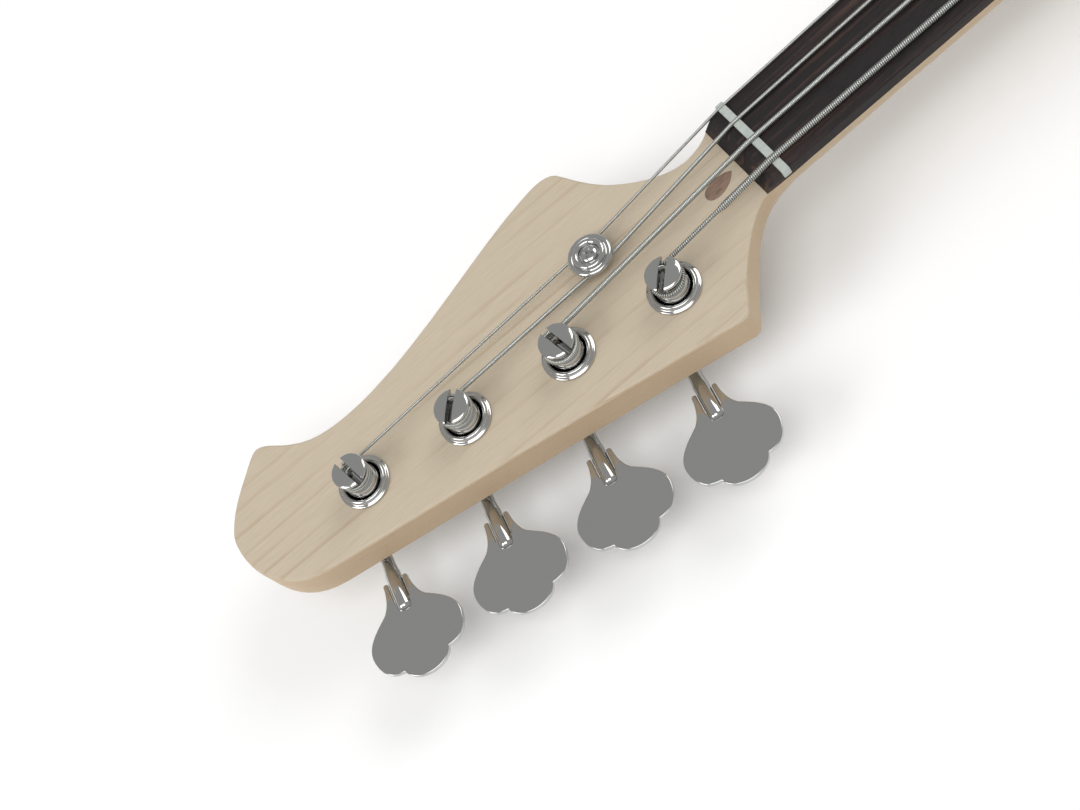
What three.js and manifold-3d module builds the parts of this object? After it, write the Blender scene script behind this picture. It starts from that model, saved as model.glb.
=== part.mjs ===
// Fretless four-string electric bass guitar, lying on its back.
// Millimetres. +X runs along the neck to the headstock, +Y is the bass side, +Z is the front.
// The origin is on the flat back of the body, on the centre line, under the saddle line.
import * as THREE from 'three';
import { mergeVertices } from 'three/addons/utils/BufferGeometryUtils.js';
import Module from 'manifold-3d';

const wasm = await Module();
wasm.setup();

// Driving dimensions of the whole instrument
const scaleLength = 863.6;
const seatGap = 0.3;
const cutOverrun = 6;
const weldDistance = 1e-4;

// Body
const bodyThick = 42;
const bodyLength = 512;
const bodyWidth = 328;
const tailReach = 85;
const bodyEdgeRadius = 7;
const forearmDepth = 15;
const forearmReach = 62;
const forearmTurn = THREE.MathUtils.degToRad(18);
const bellyDepth = 13;
const bellyReach = 48;
const bellyRadius = 170;
const waistShares = [0.41, 0.72];
const neckEndShare = 0.79;

// Neck, fingerboard and nut
const nutWidth = 40;
const boardThick = 6;
const boardRadius = 305;
const edgeTaper = 0.0169;
const pocketDepth = 16;
const heelThick = 19.4;
const pocketLength = 57.48;
const heelProud = 8.52;
const heelBlend = 30;
const shaftThickHeel = 17.2;
const shaftThickNut = 15.1;
const headThick = 15.9;
const headEdgeRadius = 1.4;
const nutThick = 3.4;
const nutProud = 1.2;
const nutOverhang = 0.5;
const nutSeatThick = 2.5;
const boardNoseTop = 6.1;
const boardNoseFoot = 11.7;

// Headstock outline, as the photograph shows it
const headLength = 251;
const headHornY = 55;

// Truss rod and the walnut pieces that close its channel
const rodWidth = 6;
const rodDepth = 6;
const rodCover = 3.5;
const stripeInset = 2;
const rodNutRadius = 3.6;
const rodNutLength = 10;
const plugLength = 14.4;
const plugWidth = 5.6;
const plugDepth = 6;

// Tuning machines
const postPitch = 46.1;
const postLineAngle = THREE.MathUtils.degToRad(-11.2);
const firstPostBeyondNut = 60.1;
const firstPostY = 23.5;
const pegHoleRadius = 9;
const flangeRadius = 10.8;
const flangeHeight = 2.6;
const sleeveLength = 9;
const collarRadius = 6.9;
const waistRadius = 5.2;
const postHeadRadius = 7.2;
const postHeight = 13.8;
const slotWidth = 2.8;
const slotFloor = 6;
const slotTurns = [57, 111, 58, 111].map(THREE.MathUtils.degToRad);
const runningGap = 0.35;
const gearTeeth = 20;
const gearModule = 0.8;
const gearWidth = 4.6;
const gearSeatRadius = 3.2;
const postStep = 0.9;
const wormPitchRadius = 3;
const flankAngle = THREE.MathUtils.degToRad(20);
const backlash = 0.24;
const wormLength = 11.3;
const wormSides = 10;
const plateThick = 1.6;
const plateWidth = 29;
const plateLength = 43;
const lugThick = 3;
const lugWidth = 7;
const shaftRadius = 2.3;
const shaftDrop = 6.2;
const keyStart = 28;
const sleeveEnd = 44.5;
const keyEnd = 72.2;
const keyHalfWidth = 19.8;
const keyThick = 2.2;
const keySleeveRadius = 3.15;

// String retainer on the headstock
const treeBeyondNut = 75.1;
const treeY = -8.3;
const treeRadius = 9;
const treeGap = 5.4;
const treeHeight = 8.6;
const treeStemRadius = 3.3;

// Strings, from the thickest to the thinnest
const stringNames = ['e', 'a', 'd', 'g'];
const stringDiameters = [2.67, 2.16, 1.65, 1.14];
const stringNutY = [13.9, 1.7, -9.5, -19];
const stringNutLift = [7.45, 7.5, 7.1, 6.45];
const stringPostDiameters = [1.7, 2.16, 1.65, 1.14];
const windingTurns = [1.2, 1.1, 1.6, 2];
const turnGap = 0.46;
const stringRise = 3.4;
const bridgeSpacing = 19;
const saddleSetback = [6, 4, 2.5, 1.5];

// Bridge
const bridgePlateThick = 2;
const bridgeWidth = 80;
const bridgeFront = 18;
const bridgeRear = 36;
const bridgeWallHeight = 14.5;
const ballRadius = 2.4;
const saddleWidth = 15;
const saddleLength = 15;
const saddleBase = 3;
const saddleBackTravel = 3;
const intonationRadius = 1.5;
const intonationHeight = 5.6;
const springWire = 0.7;
const springTurns = 4;

// Pickup, pickguard and controls
const pickupShare = 0.3535;
const pickupLength = 98;
const pickupWidth = 44;
const pickupProud = 8.4;
const pickupWall = 2;
const pickupCavityDepth = 20;
const pickupCorner = 6;
const channelRadius = 4;
const guardThick = 2.3;
const controlShares = [0.2246, -0.67];
const controlAngle = THREE.MathUtils.degToRad(14);
const controlLengthShare = 0.293;
const controlWidth = 34;
const controlThick = 1.5;
const controlCavityDepth = 32;
const knobShares = [0.36, 0.1133, -0.1333];
const jackShare = -0.38;
const knobRadius = 9.5;
const knobHeight = 16;
const potRadius = 8.2;
const potDepth = 9;
const potShaftRadius = 2.9;
const potBushRadius = 4.6;
const jackBore = 3.4;
const jackLength = 26;

// Neck plate and strap buttons
const neckPlateLength = 52;
const neckPlateMargin = 8;
const neckPlateWidth = 51;
const neckPlateThick = 1.5;
const neckPlateCorner = 6;
const neckScrewRadius = 2.2;
const buttonRadius = 7.5;
const buttonHeight = 13;

// Places worked out from the sizes above
const glueZ = bodyThick - pocketDepth + seatGap + heelThick;
const nutX = scaleLength;
const tailX = -tailReach;
const halfBody = bodyWidth / 2;
const bodyFront = tailX + neckEndShare * bodyLength;
const heelX = bodyFront - pocketLength;
const heelLength = pocketLength + heelProud;
const stripeStart = heelX + heelLength + stripeInset;
const neckPlateX = bodyFront - neckPlateMargin - neckPlateLength / 2;
const waistX = tailX + waistShares[0] * bodyLength;
const waistY = waistShares[1] * halfBody;
const pickupX = tailX + pickupShare * bodyLength;
const controlX = tailX + controlShares[0] * bodyLength;
const controlY = controlShares[1] * halfBody;
const controlLength = controlLengthShare * bodyLength;
const knobPlaces = knobShares.map((share) => share * controlLength);
const jackPlace = jackShare * controlLength;
const gearPitchRadius = gearTeeth * gearModule / 2;
const shaftOffset = gearPitchRadius + wormPitchRadius;
const axialPitch = Math.PI * gearModule;
const headBackZ = glueZ - headThick;

const materials = {
  ash: { color: 0xc9a877, roughness: 0.45, metalness: 0 },
  maple: { color: 0xd0bfa4, roughness: 0.5, metalness: 0 },
  rosewood: { color: 0x2e2424, roughness: 0.6, metalness: 0 },
  walnut: { color: 0x8a7060, roughness: 0.6, metalness: 0 },
  bone: { color: 0xc8ccc2, roughness: 0.4, metalness: 0 },
  chrome: { color: 0xc9cacc, roughness: 0.12, metalness: 1 },
  brass: { color: 0xb08d4a, roughness: 0.3, metalness: 1 },
  steel: { color: 0x9a9a98, roughness: 0.3, metalness: 1 },
  black: { color: 0x151515, roughness: 0.4, metalness: 0 },
};

// Solid tools

function outward(geometry) {
  const position = geometry.attributes.position;
  const index = geometry.index;
  const a = new THREE.Vector3();
  const b = new THREE.Vector3();
  const c = new THREE.Vector3();
  let volume = 0;
  for (let i = 0; i < index.count; i += 3) {
    a.fromBufferAttribute(position, index.getX(i));
    b.fromBufferAttribute(position, index.getX(i + 1));
    c.fromBufferAttribute(position, index.getX(i + 2));
    volume += a.dot(b.cross(c));
  }
  if (volume < 0) {
    for (let i = 0; i < index.count; i += 3) {
      const first = index.getX(i);
      index.setX(i, index.getX(i + 2));
      index.setX(i + 2, first);
    }
  }
  return geometry;
}

function solid(geometry) {
  const bare = geometry.clone();
  for (const name of Object.keys(bare.attributes)) {
    if (name !== 'position') bare.deleteAttribute(name);
  }
  const merged = outward(mergeVertices(bare, weldDistance));
  const vertProperties = new Float32Array(merged.attributes.position.array);
  const triVerts = new Uint32Array(merged.index.array);
  return new wasm.Manifold(new wasm.Mesh({ numProp: 3, vertProperties, triVerts }));
}

function geometryOf(shape) {
  const mesh = shape.getMesh();
  const geometry = new THREE.BufferGeometry();
  geometry.setAttribute('position', new THREE.BufferAttribute(new Float32Array(mesh.vertProperties), 3));
  geometry.setIndex(new THREE.BufferAttribute(new Uint32Array(mesh.triVerts), 1));
  return geometry;
}

function joined(first, ...rest) {
  return rest.reduce((whole, next) => whole.add(next), first);
}

function cutBy(first, ...rest) {
  return rest.reduce((whole, next) => whole.subtract(next), first);
}

function node(name, shape, finish) {
  const geometry = geometryOf(shape).toNonIndexed();
  geometry.computeVertexNormals();
  const mesh = new THREE.Mesh(geometry, new THREE.MeshStandardMaterial(materials[finish]));
  mesh.name = name;
  return mesh;
}

function prism(shape, low, high, curveSegments = 6) {
  const options = { depth: high - low, bevelEnabled: false, curveSegments };
  return new THREE.ExtrudeGeometry(shape, options).translate(0, 0, low);
}

function roundedPrism(shape, low, high, edge, curveSegments = 6, bevelSegments = 1) {
  const options = {
    depth: high - low - 2 * edge,
    bevelEnabled: true,
    bevelSize: edge,
    bevelThickness: edge,
    bevelOffset: -edge,
    bevelSegments,
    curveSegments,
  };
  return new THREE.ExtrudeGeometry(shape, options).translate(0, 0, low + edge);
}

function box(lowX, highX, lowY, highY, lowZ, highZ) {
  const geometry = new THREE.BoxGeometry(highX - lowX, highY - lowY, highZ - lowZ);
  return geometry.translate((lowX + highX) / 2, (lowY + highY) / 2, (lowZ + highZ) / 2);
}

function rod(radius, low, high, sides = 12) {
  const geometry = new THREE.CylinderGeometry(radius, radius, high - low, sides);
  return geometry.rotateX(Math.PI / 2).translate(0, 0, (low + high) / 2);
}

function rodAlongX(radius, low, high, sides = 12) {
  return rod(radius, low, high, sides).rotateY(Math.PI / 2);
}

function rodAlongY(radius, low, high, sides = 12) {
  return rod(radius, low, high, sides).rotateX(-Math.PI / 2);
}

function revolved(profile, sides = 16) {
  const points = profile.map(([radius, height]) => new THREE.Vector2(radius, height));
  return new THREE.LatheGeometry(points, sides).rotateX(Math.PI / 2);
}

function roundedRect(width, height, radius) {
  const shape = new THREE.Shape();
  const w = width / 2;
  const h = height / 2;
  shape.moveTo(radius - w, -h);
  shape.lineTo(w - radius, -h);
  shape.absarc(w - radius, radius - h, radius, -Math.PI / 2, 0);
  shape.lineTo(w, h - radius);
  shape.absarc(w - radius, h - radius, radius, 0, Math.PI / 2);
  shape.lineTo(radius - w, h);
  shape.absarc(radius - w, h - radius, radius, Math.PI / 2, Math.PI);
  shape.lineTo(-w, radius - h);
  shape.absarc(radius - w, radius - h, radius, Math.PI, Math.PI * 1.5);
  return shape;
}

// Closed skin over rings of points, each end closed by a fan about its middle
function loft(rings) {
  const count = rings[0].length;
  const positions = [];
  const triangles = [];
  for (const ring of rings) {
    for (const point of ring) positions.push(point.x, point.y, point.z);
  }
  for (let r = 0; r + 1 < rings.length; r += 1) {
    for (let i = 0; i < count; i += 1) {
      const next = (i + 1) % count;
      const low = r * count;
      const high = low + count;
      triangles.push(low + i, low + next, high + next);
      triangles.push(low + i, high + next, high + i);
    }
  }
  const ends = [rings[0], rings[rings.length - 1]];
  ends.forEach((ring, end) => {
    const middle = new THREE.Vector3();
    for (const point of ring) middle.addScaledVector(point, 1 / count);
    const centre = positions.length / 3;
    positions.push(middle.x, middle.y, middle.z);
    const start = end === 0 ? 0 : (rings.length - 1) * count;
    for (let i = 0; i < count; i += 1) {
      const next = (i + 1) % count;
      if (end === 0) triangles.push(centre, start + next, start + i);
      else triangles.push(centre, start + i, start + next);
    }
  });
  const geometry = new THREE.BufferGeometry();
  geometry.setAttribute('position', new THREE.Float32BufferAttribute(positions, 3));
  geometry.setIndex(triangles);
  return geometry;
}

// Round tube through points, with a radius at each point
function tube(points, radii, sides) {
  const rings = [];
  let side = null;
  for (let i = 0; i < points.length; i += 1) {
    const before = points[Math.max(i - 1, 0)];
    const after = points[Math.min(i + 1, points.length - 1)];
    const forward = after.clone().sub(before).normalize();
    if (side === null) side = new THREE.Vector3(0, 0, 1);
    side.addScaledVector(forward, -side.dot(forward)).normalize();
    const across = forward.clone().cross(side);
    const ring = [];
    for (let s = 0; s < sides; s += 1) {
      const turn = 2 * Math.PI * s / sides;
      const point = points[i].clone();
      point.addScaledVector(side, radii[i] * Math.cos(turn));
      point.addScaledVector(across, radii[i] * Math.sin(turn));
      ring.push(point);
    }
    rings.push(ring);
  }
  return loft(rings);
}

// Least distance between the surfaces of a wound tube's turns
function leastGap(points, radii) {
  let least = Infinity;
  const along = [0];
  for (let i = 1; i < points.length; i += 1) {
    along.push(along[i - 1] + points[i].distanceTo(points[i - 1]));
  }
  for (let i = 0; i < points.length; i += 1) {
    for (let j = i + 1; j < points.length; j += 1) {
      if (along[j] - along[i] < 6 * (radii[i] + radii[j])) continue;
      least = Math.min(least, points[i].distanceTo(points[j]) - radii[i] - radii[j]);
    }
  }
  return least;
}

// Half width of the neck and board at a place along the instrument
function halfNeckAt(x) {
  return nutWidth / 2 + edgeTaper * (nutX - x);
}

function boardTopAt(y) {
  return glueZ + boardThick - y * y / (2 * boardRadius);
}

function postPlace(i) {
  const x = nutX + firstPostBeyondNut + i * postPitch * Math.cos(postLineAngle);
  const y = firstPostY + i * postPitch * Math.sin(postLineAngle);
  return new THREE.Vector2(x, y);
}

// Body: an offset double cutaway with a rolled edge, forearm and belly contours

function bodyOutline() {
  // Curve handles and ends, as shares of the body's length from the tail and of half its width
  const outlineShares = [
    [0, 0.44, 0.05, 0.98, 0.16, 0.98],
    [0.26, 0.98, 0.34, 0.72, 0.46, 0.72],
    [0.57, 0.72, 0.64, 0.86, 0.75, 0.86],
    [0.86, 0.86, 1, 0.84, 1, 0.665],
    [1, 0.575, 0.955, 0.52, 0.9, 0.52],
    [0.82, 0.52, 0.8, 0.4, 0.8, 0.2],
    [0.8, 0.1, 0.8, -0.02, neckEndShare, -0.18],
    [0.775, -0.32, 0.71, -0.3, 0.71, -0.42],
    [0.71, -0.52, 0.76, -0.55, 0.82, -0.55],
    [0.88, -0.55, 0.92, -0.6, 0.92, -0.7],
    [0.92, -0.84, 0.81, -0.9, 0.7, -0.9],
    [0.6, -0.9, 0.52, -0.725, 0.41, -0.725],
    [0.3, -0.725, 0.25, -1, 0.14, -1],
    [0.04, -1, 0, -0.45, 0, 0],
  ];
  const shape = new THREE.Shape();
  shape.moveTo(tailX, 0);
  for (const s of outlineShares) {
    shape.bezierCurveTo(
      tailX + s[0] * bodyLength, s[1] * halfBody,
      tailX + s[2] * bodyLength, s[3] * halfBody,
      tailX + s[4] * bodyLength, s[5] * halfBody,
    );
  }
  return shape;
}

// Forearm contour: a tilted slab that slopes off the front of the bass lower bout
function forearmCut() {
  const slab = box(-bodyLength, bodyLength, 0, 3 * forearmReach, 0, bodyThick);
  slab.rotateX(-Math.atan2(forearmDepth, forearmReach)).rotateZ(forearmTurn);
  return slab.translate(tailX, halfBody - 2 * forearmReach, bodyThick);
}

// Belly contour: a large cylinder that rises towards the bass edge under the waist
function bellyCut() {
  const scoop = rodAlongY(bellyRadius, 0, 3 * bellyReach, 32).translate(0, 0, -bellyRadius);
  scoop.rotateX(Math.atan2(bellyDepth, bellyReach));
  return scoop.translate(waistX, waistY - bellyReach, 0);
}

function neckScrewPlaces() {
  const inset = 2 * neckScrewRadius + seatGap * 5;
  const dx = neckPlateLength / 2 - inset - cutOverrun / 2;
  const dy = neckPlateWidth / 2 - inset;
  const rows = [neckPlateX - dx, neckPlateX + dx];
  return rows.flatMap((x) => [[x, -dy], [x, dy]]);
}

function neckPocket() {
  const shape = new THREE.Shape();
  const back = heelX - seatGap;
  const mouth = tailX + bodyLength;
  shape.moveTo(back, -halfNeckAt(back) - seatGap);
  shape.lineTo(mouth, -halfNeckAt(mouth) - seatGap);
  shape.lineTo(mouth, halfNeckAt(mouth) + seatGap);
  shape.lineTo(back, halfNeckAt(back) + seatGap);
  return prism(shape, bodyThick - pocketDepth, bodyThick + cutOverrun);
}

function controlFrame(geometry) {
  return geometry.rotateZ(controlAngle).translate(controlX, controlY, 0);
}

function makeBody() {
  const slab = roundedPrism(bodyOutline(), 0, bodyThick, bodyEdgeRadius, 4, 2);
  const roomWidth = pickupWidth + 2 * runningGap;
  const roomLength = pickupLength + 2 * runningGap;
  const pickupRoom = roundedRect(roomWidth, roomLength, pickupCorner + runningGap);
  const ledge = controlWidth / 8;
  const controlRoom = roundedRect(controlLength - 4 * ledge, controlWidth - 2 * ledge, controlWidth / 4);
  const cuts = [
    neckPocket(),
    prism(pickupRoom, bodyThick - pickupCavityDepth, bodyThick + cutOverrun, 2).translate(pickupX, 0, 0),
    controlFrame(prism(controlRoom, bodyThick - controlCavityDepth, bodyThick + cutOverrun, 2)),
    forearmCut(),
    bellyCut(),
  ];
  // Lead channel between the pickup and the controls
  const channel = rodAlongY(channelRadius, controlY + controlWidth / 2, -pickupLength / 4, 8);
  const channelZ = bodyThick - pickupCavityDepth + channelRadius + seatGap;
  cuts.push(channel.translate(pickupX - pickupWidth / 4, 0, channelZ));
  // Recess of the neck plate and its four screw holes
  const room = 2 * seatGap;
  const plateRoom = roundedRect(neckPlateLength + room, neckPlateWidth + room, neckPlateCorner + seatGap);
  const recess = prism(plateRoom, -cutOverrun, neckPlateThick + 2 * seatGap, 3);
  cuts.push(recess.translate(neckPlateX, 0, 0));
  for (const [x, y] of neckScrewPlaces()) {
    cuts.push(rod(neckScrewRadius + seatGap, -cutOverrun, bodyThick, 8).translate(x, y, 0));
  }
  // Strap button screw holes, at the tail and in the bass horn
  const hole = buttonHeight * 2;
  cuts.push(rodAlongX(screwRadius() + seatGap, -cutOverrun, hole, 8).translate(tailX, 0, bodyThick / 2));
  const horn = hornTip();
  const hornHole = rodAlongX(screwRadius() + seatGap, -hole, cutOverrun, 8);
  cuts.push(hornHole.translate(horn.x, horn.y, bodyThick / 2));
  return node('body', cutBy(solid(slab), ...cuts.map(solid)), 'ash');
}

function screwRadius() {
  return buttonRadius / 4;
}

function hornTip() {
  return new THREE.Vector2(tailX + bodyLength, 0.665 * halfBody);
}

// Neck: one lofted shaft from the square heel to the headstock, with the headstock as a rounded slab

function neckRing(x, half, depth, squareness) {
  const steps = 10;
  const ring = [];
  for (let i = 0; i <= steps; i += 1) {
    const turn = Math.PI * i / steps;
    const c = Math.cos(turn);
    const s = Math.sin(turn);
    const y = half * Math.sign(c) * Math.abs(c) ** (2 / squareness);
    const z = glueZ - depth * Math.abs(s) ** (2 / squareness);
    ring.push(new THREE.Vector3(x, y, z));
  }
  return ring;
}

function neckShaft() {
  const heelSquareness = 16;
  const shaftSquareness = 2.3;
  const headSquareness = 4;
  const blendStart = heelX + heelLength;
  const blendEnd = blendStart + heelBlend;
  const headBlend = nutX - boardNoseFoot;
  const middle = (blendEnd + headBlend) / 2;
  const rings = [
    neckRing(heelX, halfNeckAt(heelX), heelThick, heelSquareness),
    neckRing(blendStart, halfNeckAt(blendStart), heelThick, heelSquareness),
    neckRing(blendStart + heelBlend / 3, halfNeckAt(blendStart + heelBlend / 3), heelThick * 0.98, 6),
    neckRing(blendStart + heelBlend / 1.6, halfNeckAt(blendStart + heelBlend / 1.6), heelThick * 0.93, 3.2),
    neckRing(blendEnd, halfNeckAt(blendEnd), shaftThickHeel, shaftSquareness),
    neckRing(middle, halfNeckAt(middle), (shaftThickHeel + shaftThickNut) / 2, shaftSquareness),
    neckRing(headBlend, halfNeckAt(headBlend), shaftThickNut, shaftSquareness),
    neckRing(nutX + boardNoseTop, nutWidth / 2, shaftThickNut, shaftSquareness),
    neckRing(nutX + 2 * boardNoseFoot, nutWidth / 2, headThick, headSquareness),
  ];
  return loft(rings);
}

function headOutline() {
  // Curves of the headstock from the nut round to the nut again: lengths as shares of the
  // headstock's length beyond the nut, widths as shares of the treble horn's reach
  const startShares = [0.03, nutWidth / 2 / headHornY];
  const curveShares = [
    [0.09, 0.39, 0.125, 0.54, 0.157, 0.765],
    [0.168, 0.84, 0.176, 0.9, 0.182, 0.935],
    [0.186, 0.965, 0.196, 0.968, 0.207, 0.953],
    [0.42, 0.73, 0.7, 0.47, 0.9, 0.281],
    [0.955, 0.225, 0.978, 0.08, 0.992, -0.07],
    [1.004, -0.21, 1.006, -0.42, 0.992, -0.5],
    [0.975, -0.63, 0.95, -0.72, 0.93, -0.79],
    [0.912, -0.855, 0.898, -0.915, 0.888, -0.905],
    [0.872, -0.89, 0.86, -0.8, 0.84, -0.735],
    [0.805, -0.605, 0.755, -0.585, 0.69, -0.61],
    [0.57, -0.66, 0.42, -0.925, 0.325, -0.985],
    [0.305, -1, 0.27, -1.03, 0.256, -0.95],
    [0.245, -0.87, 0.237, -0.755, 0.21, -0.6],
    [0.17, -0.42, 0.1, -0.33, 0.03, -0.365],
  ];
  const shape = new THREE.Shape();
  shape.moveTo(nutX + startShares[0] * headLength, startShares[1] * headHornY);
  for (const s of curveShares) {
    shape.bezierCurveTo(
      nutX + s[0] * headLength, s[1] * headHornY,
      nutX + s[2] * headLength, s[3] * headHornY,
      nutX + s[4] * headLength, s[5] * headHornY,
    );
  }
  return shape;
}

function plugOutline(grow) {
  // Teardrop with its point towards the nut
  const half = plugWidth / 2 + grow;
  const end = plugLength + grow;
  const bulge = plugLength * 0.75;
  const near = plugLength * 0.12;
  const shape = new THREE.Shape();
  shape.moveTo(-grow, 0);
  shape.bezierCurveTo(near, half * 1.1, plugLength / 2, half * 1.15, bulge, half * 0.85);
  shape.bezierCurveTo(plugLength * 0.9, half * 0.6, end, half / 2, end, 0);
  shape.bezierCurveTo(end, -half / 2, plugLength * 0.9, -half * 0.6, bulge, -half * 0.85);
  shape.bezierCurveTo(plugLength / 2, -half * 1.15, near, -half * 1.1, -grow, 0);
  return shape;
}

function placePlug(geometry) {
  const turn = THREE.MathUtils.degToRad(7);
  const beyondNut = boardNoseFoot + headThick / 4.5;
  const y = plugWidth / 2;
  return geometry.rotateZ(turn).translate(nutX + beyondNut, y, 0);
}

function rodRoom() {
  const top = glueZ - rodCover;
  const half = rodWidth / 2 + seatGap;
  const stripe = box(stripeStart, nutX - boardNoseFoot, -half, half, -bodyThick, top);
  const low = top - rodDepth - 2 * seatGap;
  const tunnel = box(heelX - cutOverrun, stripeStart + cutOverrun, -half, half, low, top);
  const middle = (low + top) / 2;
  const socket = rodAlongX(rodNutRadius + seatGap, heelX - cutOverrun, heelX + rodNutLength + seatGap, 12);
  return joined(solid(stripe), solid(tunnel), solid(socket.translate(0, 0, middle)));
}

function makeNeck() {
  const head = roundedPrism(headOutline(), headBackZ, glueZ, headEdgeRadius, 4, 1);
  const whole = joined(solid(neckShaft()), solid(head));
  const cuts = [rodRoom()];
  cuts.push(solid(placePlug(prism(plugOutline(seatGap), glueZ - plugDepth, glueZ + cutOverrun, 3))));
  for (let i = 0; i < stringNames.length; i += 1) {
    const place = postPlace(i);
    const hole = rod(pegHoleRadius, headBackZ - cutOverrun, glueZ + cutOverrun, 14);
    cuts.push(solid(hole.translate(place.x, place.y, 0)));
  }
  for (const [x, y] of neckScrewPlaces()) {
    const depth = heelThick * 0.75;
    const low = glueZ - heelThick - cutOverrun;
    cuts.push(solid(rod(neckScrewRadius + seatGap, low, glueZ - heelThick + depth, 8).translate(x, y, 0)));
  }
  const treeHole = rod(treeScrewRadius() + seatGap, glueZ - headThick * 0.7, glueZ + cutOverrun, 8);
  cuts.push(solid(treeHole.translate(nutX + treeBeyondNut, treeY, 0)));
  return node('neck', cutBy(whole, ...cuts), 'maple');
}

function makeSkunkStripe() {
  const half = rodWidth / 2;
  const top = glueZ - rodCover - rodDepth - 3 * seatGap;
  const slab = box(stripeStart + seatGap, nutX - boardNoseFoot - seatGap, -half, half, -bodyThick, top);
  return node('skunk_stripe', solid(slab).intersect(solid(neckShaft())), 'walnut');
}

function makeTrussRod() {
  const top = glueZ - rodCover - seatGap;
  const middle = top - rodDepth / 2;
  const nutEnd = heelX + rodNutLength;
  const half = rodWidth / 2;
  const barEnd = nutX - boardNoseFoot - seatGap;
  const bar = box(nutEnd - rodWidth / 2, barEnd, -half, half, top - rodDepth, top);
  const nut = rodAlongX(rodNutRadius, heelX + seatGap, nutEnd, 12).translate(0, 0, middle);
  const slotHalf = rodNutRadius / 4;
  const slotEnd = heelX + rodNutLength / 3;
  const slot = box(heelX - cutOverrun, slotEnd, -slotHalf, slotHalf, middle - bodyThick, middle + bodyThick);
  return node('truss_rod', cutBy(joined(solid(bar), solid(nut)), solid(slot)), 'steel');
}

function makeHeadPlug() {
  const plug = placePlug(prism(plugOutline(0), glueZ - plugDepth + seatGap, glueZ, 3));
  return node('head_plug', solid(plug), 'walnut');
}

// Fingerboard: cambered, unlined, with a sloped nose beyond the nut

function boardRing(x, topShare) {
  const steps = 8;
  const half = halfNeckAt(x);
  const low = glueZ + seatGap;
  const ring = [new THREE.Vector3(x, -half, low)];
  for (let i = 0; i <= steps; i += 1) {
    const y = half * (2 * i / steps - 1);
    ring.push(new THREE.Vector3(x, y, low + (boardTopAt(y) - low) * topShare));
  }
  ring.push(new THREE.Vector3(x, half, low));
  return ring;
}

function makeFingerboard() {
  const noseMiddle = (boardNoseTop + boardNoseFoot) / 2;
  const board = loft([
    boardRing(heelX, 1),
    boardRing(nutX + boardNoseTop, 1),
    boardRing(nutX + noseMiddle, 0.62),
    boardRing(nutX + boardNoseFoot, 0.04),
  ]);
  const floor = glueZ + nutSeatThick;
  const slotEnd = nutX + nutThick + seatGap;
  const slot = box(nutX - seatGap, slotEnd, -nutWidth, nutWidth, floor, floor + 2 * boardThick);
  return node('fingerboard', cutBy(solid(board), solid(slot)), 'rosewood');
}

function makeNut() {
  const half = nutWidth / 2 + nutOverhang;
  const low = glueZ + nutSeatThick + seatGap;
  const shape = new THREE.Shape();
  const steps = 8;
  const corner = nutProud / 2;
  shape.moveTo(-half, low);
  shape.lineTo(half, low);
  shape.lineTo(half, boardTopAt(half) + nutProud - corner);
  for (let i = 0; i <= steps; i += 1) {
    const y = (half - corner) * (1 - 2 * i / steps);
    shape.lineTo(y, boardTopAt(y) + nutProud);
  }
  shape.lineTo(-half, boardTopAt(half) + nutProud - corner);
  // The outline lies in the YZ plane: turn it up, then on end
  const slab = prism(shape, 0, nutThick).rotateX(Math.PI / 2).rotateZ(Math.PI / 2).translate(nutX, 0, 0);
  const slots = stringNames.map((name, i) => {
    const radius = stringDiameters[i] / 2 + seatGap;
    const z = glueZ + stringNutLift[i];
    const groove = rodAlongX(radius, nutX - cutOverrun, nutX + nutThick + cutOverrun, 10);
    return solid(groove.translate(0, stringNutY[i], z));
  });
  return node('nut', cutBy(solid(slab), ...slots), 'bone');
}

// Tuning machine: worm shaft and key, worm wheel, post, ferrule and base plate.
// Each is drawn about its post's axis, with the headstock's back at zero height
// and the key reaching along +Y.

function makeBushing(name) {
  const bore = collarRadius + runningGap;
  const sleeve = pegHoleRadius - seatGap;
  const seat = headThick + seatGap;
  const profile = [
    [bore, headThick - sleeveLength],
    [sleeve, headThick - sleeveLength],
    [sleeve, seat],
    [flangeRadius, seat],
    [flangeRadius, seat + flangeHeight * 0.3],
    [sleeve + flangeHeight * 0.1, seat + flangeHeight * 0.6],
    [sleeve - flangeHeight * 0.15, seat + flangeHeight],
    [bore, seat + flangeHeight],
    [bore, headThick - sleeveLength],
  ];
  return node(name, solid(revolved(profile, 14)), 'chrome');
}

function makePost(name, slotTurn) {
  const neckRadius = gearSeatRadius + postStep;
  const shoulder = -shaftDrop + gearWidth / 2 + seatGap;
  const seatEnd = -shaftDrop - gearWidth / 2 + 2 * seatGap;
  const top = headThick + postHeight;
  const collarTop = headThick + flangeHeight + seatGap;
  const waistLow = headThick + slotFloor;
  const waistHigh = top - postHeadRadius * 0.32;
  const profile = [
    [0, seatEnd],
    [gearSeatRadius, seatEnd],
    [gearSeatRadius, shoulder],
    [neckRadius, shoulder],
    [neckRadius, seatGap],
    [collarRadius, seatGap],
    [collarRadius, collarTop],
    [collarRadius * 0.9, (collarTop + waistLow) / 2],
    [waistRadius, waistLow],
    [waistRadius, waistHigh],
    [postHeadRadius * 0.85, top - postHeadRadius * 0.18],
    [postHeadRadius, top - postHeadRadius * 0.1],
    [postHeadRadius * 0.96, top],
    [0, top],
  ];
  const half = slotWidth / 2;
  const slot = box(-pegHoleRadius, pegHoleRadius, -half, half, headThick + slotFloor, top + cutOverrun);
  return node(name, cutBy(solid(revolved(profile, 12)), solid(slot.rotateZ(slotTurn))), 'chrome');
}

function involute(radius) {
  const pressure = Math.acos(Math.min(gearPitchRadius * Math.cos(flankAngle) / radius, 1));
  return Math.tan(pressure) - pressure;
}

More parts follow.
